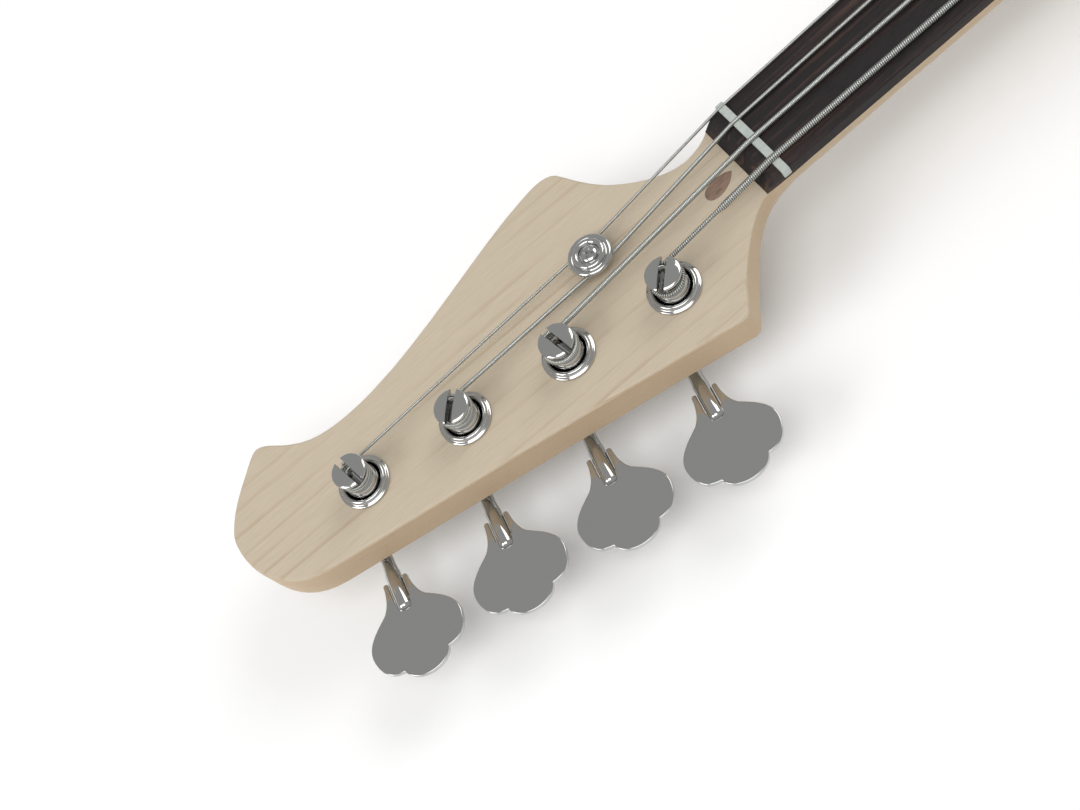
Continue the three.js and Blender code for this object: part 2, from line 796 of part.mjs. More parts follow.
// Worm wheel: helical teeth that match the worm's lead, with its fixing screw below
function makeGear(name) {
  const tip = gearPitchRadius + gearModule * 0.86;
  const root = gearPitchRadius - gearModule * 1.18;
  const halfThick = (axialPitch / 4 - backlash / 2) / gearPitchRadius;
  const twistPerHeight = axialPitch / (2 * Math.PI * wormPitchRadius) / gearPitchRadius;
  const phase = axialPitch / 4 / gearPitchRadius;
  const flankRadii = [root, gearPitchRadius, tip];
  const halfAngles = flankRadii.map((radius) => halfThick + involute(gearPitchRadius) - involute(radius));
  const ringAt = (height) => {
    const ring = [];
    for (let tooth = 0; tooth < gearTeeth; tooth += 1) {
      const middle = 2 * Math.PI * tooth / gearTeeth + phase + height * twistPerHeight;
      for (let i = 0; i < flankRadii.length; i += 1) {
        ring.push([flankRadii[i], middle - halfAngles[i]]);
      }
      for (let i = flankRadii.length - 1; i >= 0; i -= 1) {
        ring.push([flankRadii[i], middle + halfAngles[i]]);
      }
    }
    return ring.map(([radius, turn]) => new THREE.Vector3(
      radius * Math.cos(turn), radius * Math.sin(turn), height - shaftDrop,
    ));
  };
  const wheel = loft([ringAt(-gearWidth / 2), ringAt(gearWidth / 2)]);
  const bottom = -shaftDrop - gearWidth / 2;
  const head = rod(gearSeatRadius * 0.95, bottom - seatGap * 5, bottom + seatGap, 10);
  const bore = rod(gearSeatRadius + seatGap, bottom + seatGap, 0, 12);
  const half = gearSeatRadius;
  const driver = box(-half, half, -seatGap, seatGap, bottom - headThick, bottom - 2 * seatGap);
  return node(name, cutBy(joined(solid(wheel), solid(head)), solid(bore), solid(driver)), 'brass');
}

// Base plate with two lugs that carry the worm shaft
function makePlate(name) {
  const middleX = shaftOffset / 3.4;
  const outline = roundedRect(plateWidth, plateLength, plateWidth / 4);
  const top = -seatGap;
  const sheet = prism(outline, top - plateThick, top, 2).translate(middleX, 0, 0);
  const parts = [];
  const lugLow = -shaftDrop - lugWidth / 2;
  const lugAt = wormLength / 2 + runningGap * 3 + lugThick / 2;
  for (const side of [-1, 1]) {
    const lug = box(-lugWidth / 2, lugWidth / 2, -lugThick / 2, lugThick / 2, lugLow, top - plateThick / 2);
    parts.push(solid(lug.translate(shaftOffset, side * lugAt, 0)));
  }
  const holeRadius = gearSeatRadius + postStep + runningGap;
  const postHole = rod(holeRadius, top - 2 * plateThick, cutOverrun, 12);
  const bearing = rodAlongY(shaftRadius + runningGap, -plateLength, plateLength, 10);
  bearing.translate(shaftOffset, 0, -shaftDrop);
  return node(name, cutBy(joined(solid(sheet), ...parts), solid(postHole), solid(bearing)), 'chrome');
}

// Helical ridge of the worm, right-handed about +Y
function wormThread() {
  const core = wormPitchRadius - gearModule * 1.15;
  const tip = wormPitchRadius + gearModule * 0.86;
  const sunk = core - gearModule / 2;
  const half = axialPitch / 4 - backlash / 2;
  const halfAt = (radius) => half + (wormPitchRadius - radius) * Math.tan(flankAngle);
  const steps = Math.floor((wormLength / axialPitch - 1) * wormSides / 2) * 2;
  const turns = steps / wormSides;
  const rings = [];
  for (let i = 0; i <= steps; i += 1) {
    const turn = (i / steps - 0.5) * turns * 2 * Math.PI;
    const centre = axialPitch * turn / (2 * Math.PI);
    const section = [
      [sunk, -halfAt(sunk)],
      [tip, -halfAt(tip)],
      [tip, halfAt(tip)],
      [sunk, halfAt(sunk)],
    ];
    rings.push(section.map(([radius, along]) => new THREE.Vector3(
      radius * Math.sin(turn), centre + along, radius * Math.cos(turn),
    )));
  }
  return loft(rings);
}

// Clover-shaped key: concave shoulders with two ears beside the sleeve, three lobes
function keyOutline() {
  const earTop = keyStart + keySleeveRadius * 0.85;
  const earInner = keySleeveRadius + seatGap;
  const earOuter = keySleeveRadius * 1.7;
  const slotFoot = earTop + (sleeveEnd - keyStart) * 0.55;
  // Handles and ends from an ear round a side lobe to the outer end, as shares of the key's
  // half width and of its length beyond the ears
  const edgeShares = [
    [0.283, 0.116, 0.333, 0.215, 0.47, 0.28],
    [0.636, 0.342, 0.99, 0.439, 1, 0.586],
    [1, 0.697, 0.879, 0.836, 0.657, 0.853],
    [0.606, 0.86, 0.545, 0.865, 0.496, 0.865],
    [0.439, 0.952, 0.232, 1, 0, 1],
  ];
  const across = (share) => share * keyHalfWidth;
  const along = (share) => earTop + share * (keyEnd - earTop);
  const edge = new THREE.Path();
  edge.moveTo(earOuter, earTop + 2 * seatGap);
  for (const s of edgeShares) {
    edge.bezierCurveTo(across(s[0]), along(s[1]), across(s[2]), along(s[3]), across(s[4]), along(s[5]));
  }
  const right = [
    new THREE.Vector2(earInner, slotFoot),
    new THREE.Vector2(earInner, earTop + seatGap),
    new THREE.Vector2((earInner + earOuter) / 2, earTop),
    ...edge.getPoints(4),
  ];
  const left = right.slice(0, -1).reverse().map((p) => new THREE.Vector2(-p.x, p.y));
  return new THREE.Shape([...right, ...left]);
}

function makeKey(name) {
  const blade = prism(keyOutline(), -keyThick / 2, keyThick / 2, 4);
  const core = wormPitchRadius - gearModule * 1.15;
  const lugOuter = wormLength / 2 + runningGap * 3 + lugThick;
  const collar = lugOuter + runningGap;
  const stem = keySleeveRadius * 0.86;
  const profile = [
    [0, -collar - lugThick / 2],
    [shaftRadius * 1.3, -collar - lugThick / 2],
    [shaftRadius * 1.3, -collar],
    [shaftRadius, -collar],
    [shaftRadius, -wormLength / 2],
    [core, -wormLength / 2],
    [core, wormLength / 2],
    [shaftRadius, wormLength / 2],
    [shaftRadius, collar],
    [stem, collar],
    [stem, keyStart - keySleeveRadius],
    [keySleeveRadius, keyStart],
    [keySleeveRadius, sleeveEnd - keySleeveRadius / 2],
    [keySleeveRadius * 0.6, sleeveEnd],
    [0, sleeveEnd],
  ];
  const shaft = revolved(profile, wormSides).rotateX(-Math.PI / 2);
  const whole = joined(solid(shaft), solid(wormThread()), solid(blade));
  const mesh = node(name, whole, 'chrome');
  mesh.position.set(shaftOffset, 0, -shaftDrop);
  return mesh;
}

function makeTuner(i) {
  const tag = stringNames[i];
  const group = new THREE.Group();
  const place = postPlace(i);
  group.position.set(place.x, place.y, headBackZ);
  group.rotation.z = postLineAngle;
  group.add(makeBushing(`tuner_bushing_${tag}`));
  group.add(makePost(`tuner_post_${tag}`, slotTurns[i]));
  group.add(makeGear(`worm_wheel_${tag}`));
  group.add(makePlate(`tuner_plate_${tag}`));
  group.add(makeKey(`tuning_key_${tag}`));
  return group;
}

// Round string retainer and its screw

function treeScrewRadius() {
  return treeStemRadius * 0.48;
}

function makeStringTree() {
  const bore = treeScrewRadius() + seatGap;
  const bowl = treeRadius * 0.44;
  const profile = [
    [bore, seatGap],
    [treeStemRadius, seatGap],
    [treeStemRadius, treeGap],
    [treeRadius * 0.92, treeGap],
    [treeRadius, treeGap + treeRadius * 0.06],
    [treeRadius, treeGap + treeRadius * 0.13],
    [treeRadius * 0.9, treeGap + treeRadius * 0.2],
    [treeRadius * 0.68, treeGap + treeRadius * 0.22],
    [treeRadius * 0.62, treeHeight],
    [bowl, treeHeight],
    [bowl, treeHeight - treeRadius * 0.15],
    [bore, treeHeight - treeRadius * 0.15],
    [bore, seatGap],
  ];
  const mesh = node('string_tree', solid(revolved(profile, 12)), 'chrome');
  mesh.position.set(nutX + treeBeyondNut, treeY, glueZ);
  return mesh;
}

function makeTreeScrew() {
  const seat = treeHeight - treeRadius * 0.15 + seatGap;
  const head = treeRadius * 0.44 - seatGap;
  const profile = [
    [0, -headThick * 0.65],
    [treeScrewRadius() / 3, -headThick * 0.65],
    [treeScrewRadius(), -headThick * 0.5],
    [treeScrewRadius(), seat],
    [head, seat],
    [head * 0.8, seat + treeRadius * 0.1],
    [head * 0.4, seat + treeRadius * 0.13],
    [0, seat + treeRadius * 0.13],
  ];
  const wide = head * 0.6;
  const thin = head * 0.14;
  const floor = seat + treeRadius * 0.04;
  const across = box(-wide, wide, -thin, thin, floor, treeHeight * 2);
  const along = box(-thin, thin, -wide, wide, floor, treeHeight * 2);
  const screw = cutBy(solid(revolved(profile, 8)), solid(across), solid(along));
  const mesh = node('string_tree_screw', screw, 'chrome');
  mesh.position.set(nutX + treeBeyondNut, treeY, glueZ);
  return mesh;
}

// Bridge: bent plate, sliding saddles, intonation screws and springs

const bridgeTop = bodyThick + seatGap + bridgePlateThick;

function saddleX(i) {
  return -saddleSetback[i];
}

function bridgeY(i) {
  return ((stringNames.length - 1) / 2 - i) * bridgeSpacing;
}

function stringBridgeZ(i) {
  return glueZ + stringNutLift[i] + stringRise;
}

function makeBridgePlate() {
  const low = bodyThick + seatGap;
  const outline = roundedRect(bridgeFront + bridgeRear, bridgeWidth, bridgePlateThick * 2);
  const sheet = prism(outline, low, bridgeTop, 1).translate((bridgeFront - bridgeRear) / 2, 0, 0);
  const wallFront = bridgePlateThick - bridgeRear;
  const wallShape = roundedRect(bridgeWallHeight * 2, bridgeWidth, bridgePlateThick * 1.5);
  const wall = prism(wallShape, -bridgeRear, wallFront, 2).rotateY(Math.PI / 2);
  const upper = box(-bridgeRear, wallFront, -bridgeWidth, bridgeWidth, low, low + 2 * bridgeWallHeight);
  const upright = solid(wall.translate(0, 0, low)).intersect(solid(upper));
  const holes = [];
  stringNames.forEach((name, i) => {
    const screwHole = rodAlongX(intonationRadius + runningGap, -bridgeRear * 2, 0, 8);
    holes.push(solid(screwHole.translate(0, bridgeY(i), bridgeTop + intonationHeight - bridgePlateThick)));
    const place = stringAnchor(i);
    const room = stringDiameters[i] / 2 + seatGap * 2;
    holes.push(solid(rodAlongX(room, -bridgeRear * 2, 0, 6).translate(0, place.y, place.z)));
  });
  return node('bridge_plate', cutBy(joined(solid(sheet), upright), ...holes), 'chrome');
}

// Where a string passes the bridge's upright wall
function stringAnchor(i) {
  const z = bodyThick + seatGap + bridgeWallHeight - ballRadius - stringDiameters[3];
  return new THREE.Vector3(-bridgeRear, bridgeY(i), z);
}

function makeSaddle(i) {
  // Side profile: crest under the string at the front, low back for the screw
  const crest = stringBridgeZ(i) - stringDiameters[i] / 2 - seatGap;
  const floor = bridgeTop + saddleBase;
  const back = -saddleLength * 0.62;
  const front = saddleLength * 0.38;
  const rearTop = bridgeTop + intonationHeight + intonationRadius;
  const shape = new THREE.Shape();
  shape.moveTo(back, floor);
  shape.lineTo(front, floor);
  shape.lineTo(front, crest - saddleLength * 0.2);
  shape.lineTo(saddleLength * 0.1, crest - saddleLength * 0.02);
  shape.lineTo(0, crest);
  shape.lineTo(-saddleLength * 0.08, crest - saddleLength * 0.02);
  shape.lineTo(back * 0.5, rearTop);
  shape.lineTo(back, rearTop);
  const block = prism(shape, -saddleWidth / 2, saddleWidth / 2).rotateX(Math.PI / 2);
  const legs = [-1, 1].map((side) => {
    const leg = rod(intonationRadius, bridgeTop + seatGap, rearTop, 10);
    return solid(leg.translate(saddleLength * 0.15, side * saddleWidth * 0.33, 0));
  });
  const bore = rodAlongX(intonationRadius + seatGap, -saddleLength, front - seatGap * 4, 10);
  const drilled = cutBy(joined(solid(block), ...legs), solid(bore.translate(0, 0, screwHeight())));
  const mesh = node(`saddle_${stringNames[i]}`, drilled, 'chrome');
  mesh.position.set(saddleX(i), bridgeY(i), 0);
  return mesh;
}

function screwHeight() {
  return bridgeTop + intonationHeight - bridgePlateThick;
}

function makeIntonationScrew(i) {
  const wallBack = -bridgeRear;
  const headEnd = wallBack - seatGap - intonationRadius * 1.3;
  const reach = saddleX(i) + saddleLength * 0.38 - seatGap * 4 - saddleBackTravel - seatGap;
  const head = rodAlongX(intonationRadius * 1.9, headEnd, wallBack - seatGap, 12);
  const shank = rodAlongX(intonationRadius, headEnd + seatGap, reach, 10);
  const slotFoot = headEnd + intonationRadius / 2;
  const slot = box(headEnd - cutOverrun, slotFoot, -seatGap, seatGap, -cutOverrun, cutOverrun);
  const screw = cutBy(joined(solid(head), solid(shank)), solid(slot));
  const mesh = node(`intonation_screw_${stringNames[i]}`, screw, 'steel');
  mesh.position.set(0, bridgeY(i), screwHeight());
  return mesh;
}

function makeSpring(i) {
  const start = bridgePlateThick - bridgeRear + seatGap + springWire / 2;
  const end = saddleX(i) - saddleLength * 0.62 - seatGap - springWire / 2;
  const radius = intonationRadius + seatGap + springWire / 2;
  const curlSteps = 8;
  const steps = curlSteps * springTurns;
  const points = [];
  for (let s = 0; s <= steps; s += 1) {
    const turn = 2 * Math.PI * s / curlSteps;
    const x = start + (end - start) * s / steps;
    points.push(new THREE.Vector3(x, radius * Math.cos(turn), radius * Math.sin(turn)));
  }
  const radii = points.map(() => springWire / 2);
  springGaps.push(leastGap(points, radii));
  const mesh = node(`saddle_spring_${stringNames[i]}`, solid(tube(points, radii, 5)), 'steel');
  mesh.position.set(0, bridgeY(i), screwHeight());
  return mesh;
}

const springGaps = [];
const windingGaps = [];

// Strings: ball end behind the bridge wall, over the saddle and nut, then round the post

function makeString(i) {
  const radius = stringDiameters[i] / 2;
  const thin = stringPostDiameters[i] / 2;
  const anchor = stringAnchor(i);
  const points = [];
  const radii = [];
  const add = (x, y, z, r) => {
    points.push(new THREE.Vector3(x, y, z));
    radii.push(r);
  };
  // Ball end
  const ballEnd = anchor.x - seatGap;
  add(ballEnd - ballRadius * 1.6, anchor.y, anchor.z, ballRadius * 0.6);
  add(ballEnd - ballRadius * 1.3, anchor.y, anchor.z, ballRadius);
  add(ballEnd - seatGap, anchor.y, anchor.z, ballRadius);
  add(ballEnd, anchor.y, anchor.z, radius);
  add(anchor.x + 2 * bridgePlateThick, anchor.y, anchor.z, radius);
  // Level over the saddle's whole travel, then the speaking length to the nut
  const crestZ = stringBridgeZ(i);
  add(saddleX(i) - saddleBackTravel - 2 * radius, bridgeY(i), crestZ, radius);
  add(saddleX(i) + saddleLength * 0.5, bridgeY(i), crestZ, radius);
  const nutZ = glueZ + stringNutLift[i];
  const runs = 4;
  for (let s = 1; s < runs; s += 1) {
    const share = s / runs;
    const y = THREE.MathUtils.lerp(bridgeY(i), stringNutY[i], share);
    add(share * nutX, y, THREE.MathUtils.lerp(crestZ, nutZ, share), radius);
  }
  add(nutX - seatGap, stringNutY[i], nutZ, radius);
  add(nutX + nutThick, stringNutY[i], nutZ, radius);
  // Under the retainer, for the two strings that it holds down
  const post = postPlace(i);
  const windRadius = waistRadius + seatGap + thin;
  const windLow = glueZ + slotFloor + thin + seatGap;
  const sideOfTree = treeHeldY(i);
  if (sideOfTree !== null) {
    const lowZ = glueZ + treeGap - seatGap - radius;
    add(nutX + treeBeyondNut - treeRadius * 0.7, sideOfTree, lowZ, radius);
    add(nutX + treeBeyondNut + treeRadius * 0.7, sideOfTree + treeSlope(i), lowZ, radius);
  } else if (thin < radius) {
    // The thick wrap ends past the nut and a thinner one goes to the post
    const taperAt = 27;
    const taperLength = 3;
    const share = taperAt / firstPostBeyondNut;
    const y = THREE.MathUtils.lerp(stringNutY[i], post.y - windRadius, share);
    const z = THREE.MathUtils.lerp(nutZ, windLow, share);
    add(nutX + taperAt, y, z, radius);
    add(nutX + taperAt + taperLength, y, z, thin);
  }
  // Tangent to the winding on the treble side of the post
  const last = points[points.length - 1];
  const reach = Math.hypot(post.x - last.x, post.y - last.y);
  const heading = Math.atan2(post.y - last.y, post.x - last.x) - Math.asin(windRadius / reach);
  const startTurn = heading - Math.PI / 2;
  const windAt = (turn) => new THREE.Vector3(
    post.x + windRadius * Math.cos(startTurn + turn),
    post.y + windRadius * Math.sin(startTurn + turn),
    windLow + (2 * thin + turnGap) * turn / (2 * Math.PI),
  );
  const steps = Math.round(18 * windingTurns[i]);
  const firstTurn = points.length;
  for (let s = 0; s <= steps; s += 1) {
    const place = windAt(2 * Math.PI * windingTurns[i] * s / steps);
    add(place.x, place.y, place.z, thin);
  }
  // The end runs straight for one diameter
  const beforeEnd = points[points.length - 2];
  const windEnd = points[points.length - 1];
  const onward = windEnd.clone().sub(beforeEnd).normalize().multiplyScalar(2 * thin).add(windEnd);
  add(onward.x, onward.y, onward.z, thin);
  windingGaps.push(leastGap(points.slice(firstTurn - 1), radii.slice(firstTurn - 1)));
  return node(`string_${stringNames[i]}`, solid(tube(points, radii, 6)), 'steel');
}

// A held string passes the retainer's stem at this height across the headstock
function treeHeldY(i) {
  const held = [null, null, treeY + treeRadius * 0.53, treeY - treeRadius * 0.6];
  return held[i];
}

function treeSlope(i) {
  return [0, 0, treeRadius * 0.07, treeRadius * 0.05][i];
}

// Pickup, pickguard and control plate

function makePickupCover() {
  const low = bodyThick - pickupCavityDepth * 0.6;
  const high = bodyThick + pickupProud;
  const shell = roundedRect(pickupWidth, pickupLength, pickupCorner);
  const insideWidth = pickupWidth - 2 * pickupWall;
  const inner = roundedRect(insideWidth, pickupLength - 2 * pickupWall, pickupCorner - pickupWall);
  const outer = roundedPrism(shell, low, high, pickupWall / 2, 2, 1);
  const hollow = prism(inner, low - cutOverrun, high - pickupWall, 2);
  const mesh = node('pickup_cover', cutBy(solid(outer), solid(hollow)), 'black');
  mesh.position.set(pickupX, 0, 0);
  return mesh;
}

function makePickupCoils() {
  const low = bodyThick - pickupCavityDepth + seatGap;
  const high = bodyThick + pickupProud - pickupWall - seatGap;
  const inner = pickupWall + seatGap;
  const block = roundedRect(pickupWidth - 2 * inner, pickupLength - 2 * inner, pickupCorner - pickupWall);
  const mesh = node('pickup_coils', solid(prism(block, low, high, 2)), 'black');
  mesh.position.set(pickupX, 0, 0);
  return mesh;
}

function makePickguard() {
  const low = bodyThick + seatGap;
  const neckSide = heelX - seatGap * 4;
  // Handles and ends, as shares of the body's length from the tail and of half its width
  const guardShares = [
    [0.3, 0.42, 0.4, 0.5, 0.5, 0.5],
    [0.58, 0.5, 0.62, 0.44, 0.66, 0.3],
    [0.67, 0.2, 0.67, -0.1, 0.66, -0.24],
    [0.67, -0.36, 0.68, -0.62, 0.58, -0.66],
    [0.5, -0.66, 0.44, -0.55, 0.36, -0.45],
    [0.31, -0.42, 0.265, -0.44, 0.265, -0.36],
    [0.265, -0.1, 0.265, 0.1, 0.265, 0.34],
    [0.265, 0.38, 0.275, 0.4, 0.3, 0.42],
  ];
  const startShares = [0.3, 0.42];
  const shape = new THREE.Shape();
  shape.moveTo(tailX + startShares[0] * bodyLength, startShares[1] * halfBody);
  for (const s of guardShares) {
    shape.bezierCurveTo(
      tailX + s[0] * bodyLength, s[1] * halfBody,
      tailX + s[2] * bodyLength, s[3] * halfBody,
      tailX + s[4] * bodyLength, s[5] * halfBody,
    );
  }
  const sheet = solid(prism(shape, low, low + guardThick, 5));
  const half = halfNeckAt(heelX) + 2 * seatGap;
  const neckRoom = box(neckSide, neckSide + bodyLength, -half, half, 0, 2 * bodyThick);
  const pickupHole = roundedRect(pickupWidth + 4 * runningGap, pickupLength + 4 * runningGap, pickupWall * 4);
  const opening = prism(pickupHole, 0, bodyThick * 2, 3).translate(pickupX, 0, 0);
  const room = 4 * seatGap;
  const plateSide = roundedRect(controlLength + room, controlWidth + room, controlWidth / 2);
  const plateRoom = controlFrame(prism(plateSide, 0, bodyThick * 2, 8));
  return node('pickguard', cutBy(sheet, solid(neckRoom), solid(opening), solid(plateRoom)), 'black');
}

function controlGroup() {
  const group = new THREE.Group();
  group.position.set(controlX, controlY, bodyThick);
  group.rotation.z = controlAngle;
  const plateTop = seatGap + controlThick;
  const outline = roundedRect(controlLength, controlWidth, controlWidth / 2 - seatGap);
  const sheet = solid(prism(outline, seatGap, plateTop, 4));
  const holes = knobPlaces.map((x) => {
    const hole = rod(potBushRadius + seatGap, -cutOverrun, cutOverrun, 10);
    return solid(hole.translate(x, 0, 0));
  });
  holes.push(solid(rod(jackBore * 1.4 + seatGap, -cutOverrun, cutOverrun, 12).translate(jackPlace, 0, 0)));
  group.add(node('control_plate', cutBy(sheet, ...holes), 'chrome'));
  knobPlaces.forEach((x, i) => {
    const pot = makePot(`pot_${i + 1}`);
    const knob = makeKnob(`knob_${i + 1}`);
    pot.position.x = x;
    knob.position.x = x;
    group.add(pot, knob);
  });
  const jack = makeJack();
  jack.position.x = jackPlace;
  group.add(jack);
  return group;
}

// Potentiometer: can below the plate, threaded bushing through it, nut above
function makePot(name) {
  const bore = potShaftRadius + runningGap;
  const plateTop = seatGap + controlThick;
  const nutTop = plateTop + seatGap + potShaftRadius * 0.7;
  const profile = [
    [0, -potDepth],
    [potRadius, -potDepth],
    [potRadius, 0],
    [potBushRadius, 0],
    [potBushRadius, plateTop + seatGap],
    [potBushRadius + potShaftRadius / 2, plateTop + seatGap],
    [potBushRadius + potShaftRadius / 2, nutTop],
    [bore, nutTop],
    [bore, -potDepth / 2],
    [0, -potDepth / 2],
  ];
  return node(name, solid(revolved(profile, 8)), 'steel');
}

// Domed control knob with the pot's shaft
function makeKnob(name) {
  const plateTop = seatGap + controlThick;
  const base = plateTop + seatGap + potShaftRadius;
  const profile = [
    [0, -potDepth / 2 + seatGap],
    [potShaftRadius, -potDepth / 2 + seatGap],
    [potShaftRadius, base],
    [potBushRadius, base + seatGap],
    [knobRadius, base + seatGap],
    [knobRadius, base + knobHeight * 0.7],
    [knobRadius * 0.9, base + knobHeight * 0.82],
    [knobRadius * 0.55, base + knobHeight * 0.92],
    [0, base + knobHeight * 0.95],
  ];
  return node(name, solid(revolved(profile, 12)), 'chrome');
}

function makeJack() {
  const body = jackBore * 1.4;
  const plateTop = seatGap + controlThick;
  const profile = [
    [jackBore, -jackLength],
    [body, -jackLength],
    [body, plateTop + seatGap],
    [body * 1.35, plateTop + seatGap],
    [body * 1.35, plateTop + jackBore * 0.7],
    [body * 0.95, plateTop + jackBore],
    [jackBore, plateTop + jackBore],
    [jackBore, -jackLength],
  ];
  return node('output_jack', solid(revolved(profile, 10)), 'steel');
}

// Neck plate with its four screws, and the strap buttons

function makeNeckPlate() {
  const outline = roundedRect(neckPlateLength, neckPlateWidth, neckPlateCorner);
  const low = seatGap / 2;
  const sheet = prism(outline, low, low + neckPlateThick, 3).translate(neckPlateX, 0, 0);
  const shanks = neckScrewPlaces().map(([x, y]) => {
    const tip = bodyThick - pocketDepth + heelThick * 0.7;
    return solid(rod(neckScrewRadius, low + seatGap, tip, 8).translate(x, y, 0));
  });
  return node('neck_plate', joined(solid(sheet), ...shanks), 'chrome');
}

function makeStrapButton(name) {
  const neckRadius = buttonRadius / 2;
  const profile = [
    [0, -buttonHeight * 1.6],
    [screwRadius() / 2, -buttonHeight * 1.6],
    [screwRadius(), -buttonHeight * 1.3],
    [screwRadius(), seatGap],
    [neckRadius * 1.4, seatGap],
    [neckRadius, buttonHeight * 0.3],
    [neckRadius, buttonHeight * 0.75],
    [buttonRadius, buttonHeight * 0.85],
    [buttonRadius * 0.9, buttonHeight],
    [0, buttonHeight * 1.05],
  ];
  return node(name, solid(revolved(profile, 10)), 'chrome');
}

const guitar = new THREE.Group();
guitar.name = 'fretless_bass_guitar';
guitar.add(makeBody(), makeNeck(), makeFingerboard(), makeNut());
guitar.add(makeTrussRod(), makeSkunkStripe(), makeHeadPlug(), makeNeckPlate());
stringNames.forEach((name, i) => guitar.add(makeTuner(i)));
guitar.add(makeStringTree(), makeTreeScrew());
guitar.add(makeBridgePlate());
stringNames.forEach((name, i) => {
  guitar.add(makeSaddle(i), makeIntonationScrew(i), makeSpring(i), makeString(i));
});
guitar.add(makePickupCover(), makePickupCoils(), makePickguard(), controlGroup());
const tailButton = makeStrapButton('strap_button_tail');
tailButton.rotation.y = -Math.PI / 2;
tailButton.position.set(tailX, 0, bodyThick / 2);
const hornButton = makeStrapButton('strap_button_horn');
hornButton.rotation.y = Math.PI / 2;
hornButton.position.set(hornTip().x, hornTip().y, bodyThick / 2);
guitar.add(tailButton, hornButton);

console.log('least gap between spring turns, mm:', Math.min(...springGaps).toFixed(2));
console.log('least gap between string windings, mm:', Math.min(...windingGaps).toFixed(2));

export default guitar;
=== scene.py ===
"""Looks of a four-string fretless bass guitar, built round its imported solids.

Metres. +X runs along the neck to the headstock, +Y is the bass side, +Z is the front.
"""
import math

import bmesh
import bpy
from mathutils import Matrix, Vector


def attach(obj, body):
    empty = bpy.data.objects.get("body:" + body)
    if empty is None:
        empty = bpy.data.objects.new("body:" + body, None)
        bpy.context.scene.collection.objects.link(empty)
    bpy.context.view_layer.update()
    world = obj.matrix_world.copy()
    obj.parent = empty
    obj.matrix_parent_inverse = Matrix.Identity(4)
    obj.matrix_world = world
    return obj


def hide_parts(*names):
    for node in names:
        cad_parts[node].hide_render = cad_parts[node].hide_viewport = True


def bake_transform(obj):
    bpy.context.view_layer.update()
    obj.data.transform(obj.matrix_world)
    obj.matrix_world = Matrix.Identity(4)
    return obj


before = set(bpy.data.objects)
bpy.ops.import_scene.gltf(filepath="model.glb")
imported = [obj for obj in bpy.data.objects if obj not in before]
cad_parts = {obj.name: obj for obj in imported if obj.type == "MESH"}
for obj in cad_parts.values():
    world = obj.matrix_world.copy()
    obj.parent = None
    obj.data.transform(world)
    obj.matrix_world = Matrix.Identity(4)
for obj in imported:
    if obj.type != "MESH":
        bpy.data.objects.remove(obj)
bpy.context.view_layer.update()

bl_info = {
    "name": "Fretless Bass Guitar",
    "version": (1, 0, 0),
    "blender": (4, 5, 0),
    "location": "3D View > Sidebar > Bass",
    "description": "Dresses the solids of a fretless bass guitar with finished pieces",
    "category": "Object",
}

MM = 0.001
STRINGS = ("e", "a", "d", "g")
# Widening of the neck to each side, as a share of the way from the nut
TAPER = 0.0169
# Middle of the neck plate, below the neck's heel
NECK_PLATE_X = 285.48 * MM
# Lengths that let a cut pass right through the thin and the thick pieces
THROUGH_THIN, THROUGH_THICK = 0.01, 0.1
# Turns a piece face down; stands a flat outline up across the neck, or along it
DOWN = Matrix.Rotation(math.pi, 4, "X")
ACROSS = Matrix(((0, 0, 1, 0), (1, 0, 0, 0), (0, 1, 0, 0), (0, 0, 0, 1)))
ALONG = Matrix(((1, 0, 0, 0), (0, 0, 1, 0), (0, 1, 0, 0), (0, 0, 0, 1)))


def hex_to_linear(code):
    """Linear colour of an sRGB hex value."""
    parts = [int(code[k:k + 2], 16) / 255 for k in (1, 3, 5)]
    return tuple(p / 12.92 if p <= 0.04045 else ((p + 0.055) / 1.055) ** 2.4 for p in parts) + (1.0,)


def length(name, description, millimetres):
    """A size that the sidebar shows, given in millimetres."""
    return bpy.props.FloatProperty(name=name, description=description, default=millimetres * MM,
                                   subtype="DISTANCE", unit="LENGTH", precision=5)


def colour(name, description, code):
    """A colour that the sidebar shows, given as an sRGB hex value."""
    return bpy.props.FloatVectorProperty(name=name, description=description, default=hex_to_linear(code),
                                         size=4, min=0, max=1, subtype="COLOR")


class BassNeckSizes(bpy.types.PropertyGroup):
    nut_x: length("Nut", "Front edge of the nut from the saddle line", 863.6)
    nut_width: length("Nut width", "Width of the fingerboard at the nut", 40.8)
    glue_z: length("Glue plane", "Height of the headstock's face and the board's underside", 45.7)
    head_length: length("Head length", "Headstock beyond the nut", 251)
    head_horn: length("Head horn", "Reach of the headstock's bass shoulder", 55)
    head_thick: length("Head thickness", "Thickness of the headstock", 15.9)
    head_edge: length("Head edge", "Radius that breaks the headstock's edges", 1.3)
    heel_x: length("Heel", "Body end of the neck", 262)
    heel_thick: length("Heel thickness", "Neck thickness in the body's pocket", 19.4)
    heel_length: length("Heel length", "Neck length in the body's pocket", 66)
    board_thick: length("Board thickness", "Fingerboard thickness in the middle", 6)
    board_radius: length("Board radius", "Camber of the fingerboard", 305)
    nut_thick: length("Nut thickness", "Length of the nut along the strings", 3.4)


class BassBodySizes(bpy.types.PropertyGroup):
    thick: length("Body thickness", "Thickness of the body", 42)
    reach: length("Body length", "Body from the tail to the bass horn", 512)
    width: length("Body width", "Body across its lower bouts", 328)
    tail: length("Tail", "Tail behind the saddle line", 85)
    edge: length("Edge radius", "Roll of the body's edge", 7)
    guard_thick: length("Pickguard thickness", "Thickness of the pickguard", 2.3)
    pickup_x: length("Pickup place", "Middle of the pickup from the saddle line", 95.99)
    pickup_length: length("Pickup length", "Pickup across the strings", 98)
    pickup_width: length("Pickup width", "Pickup along the strings", 44)


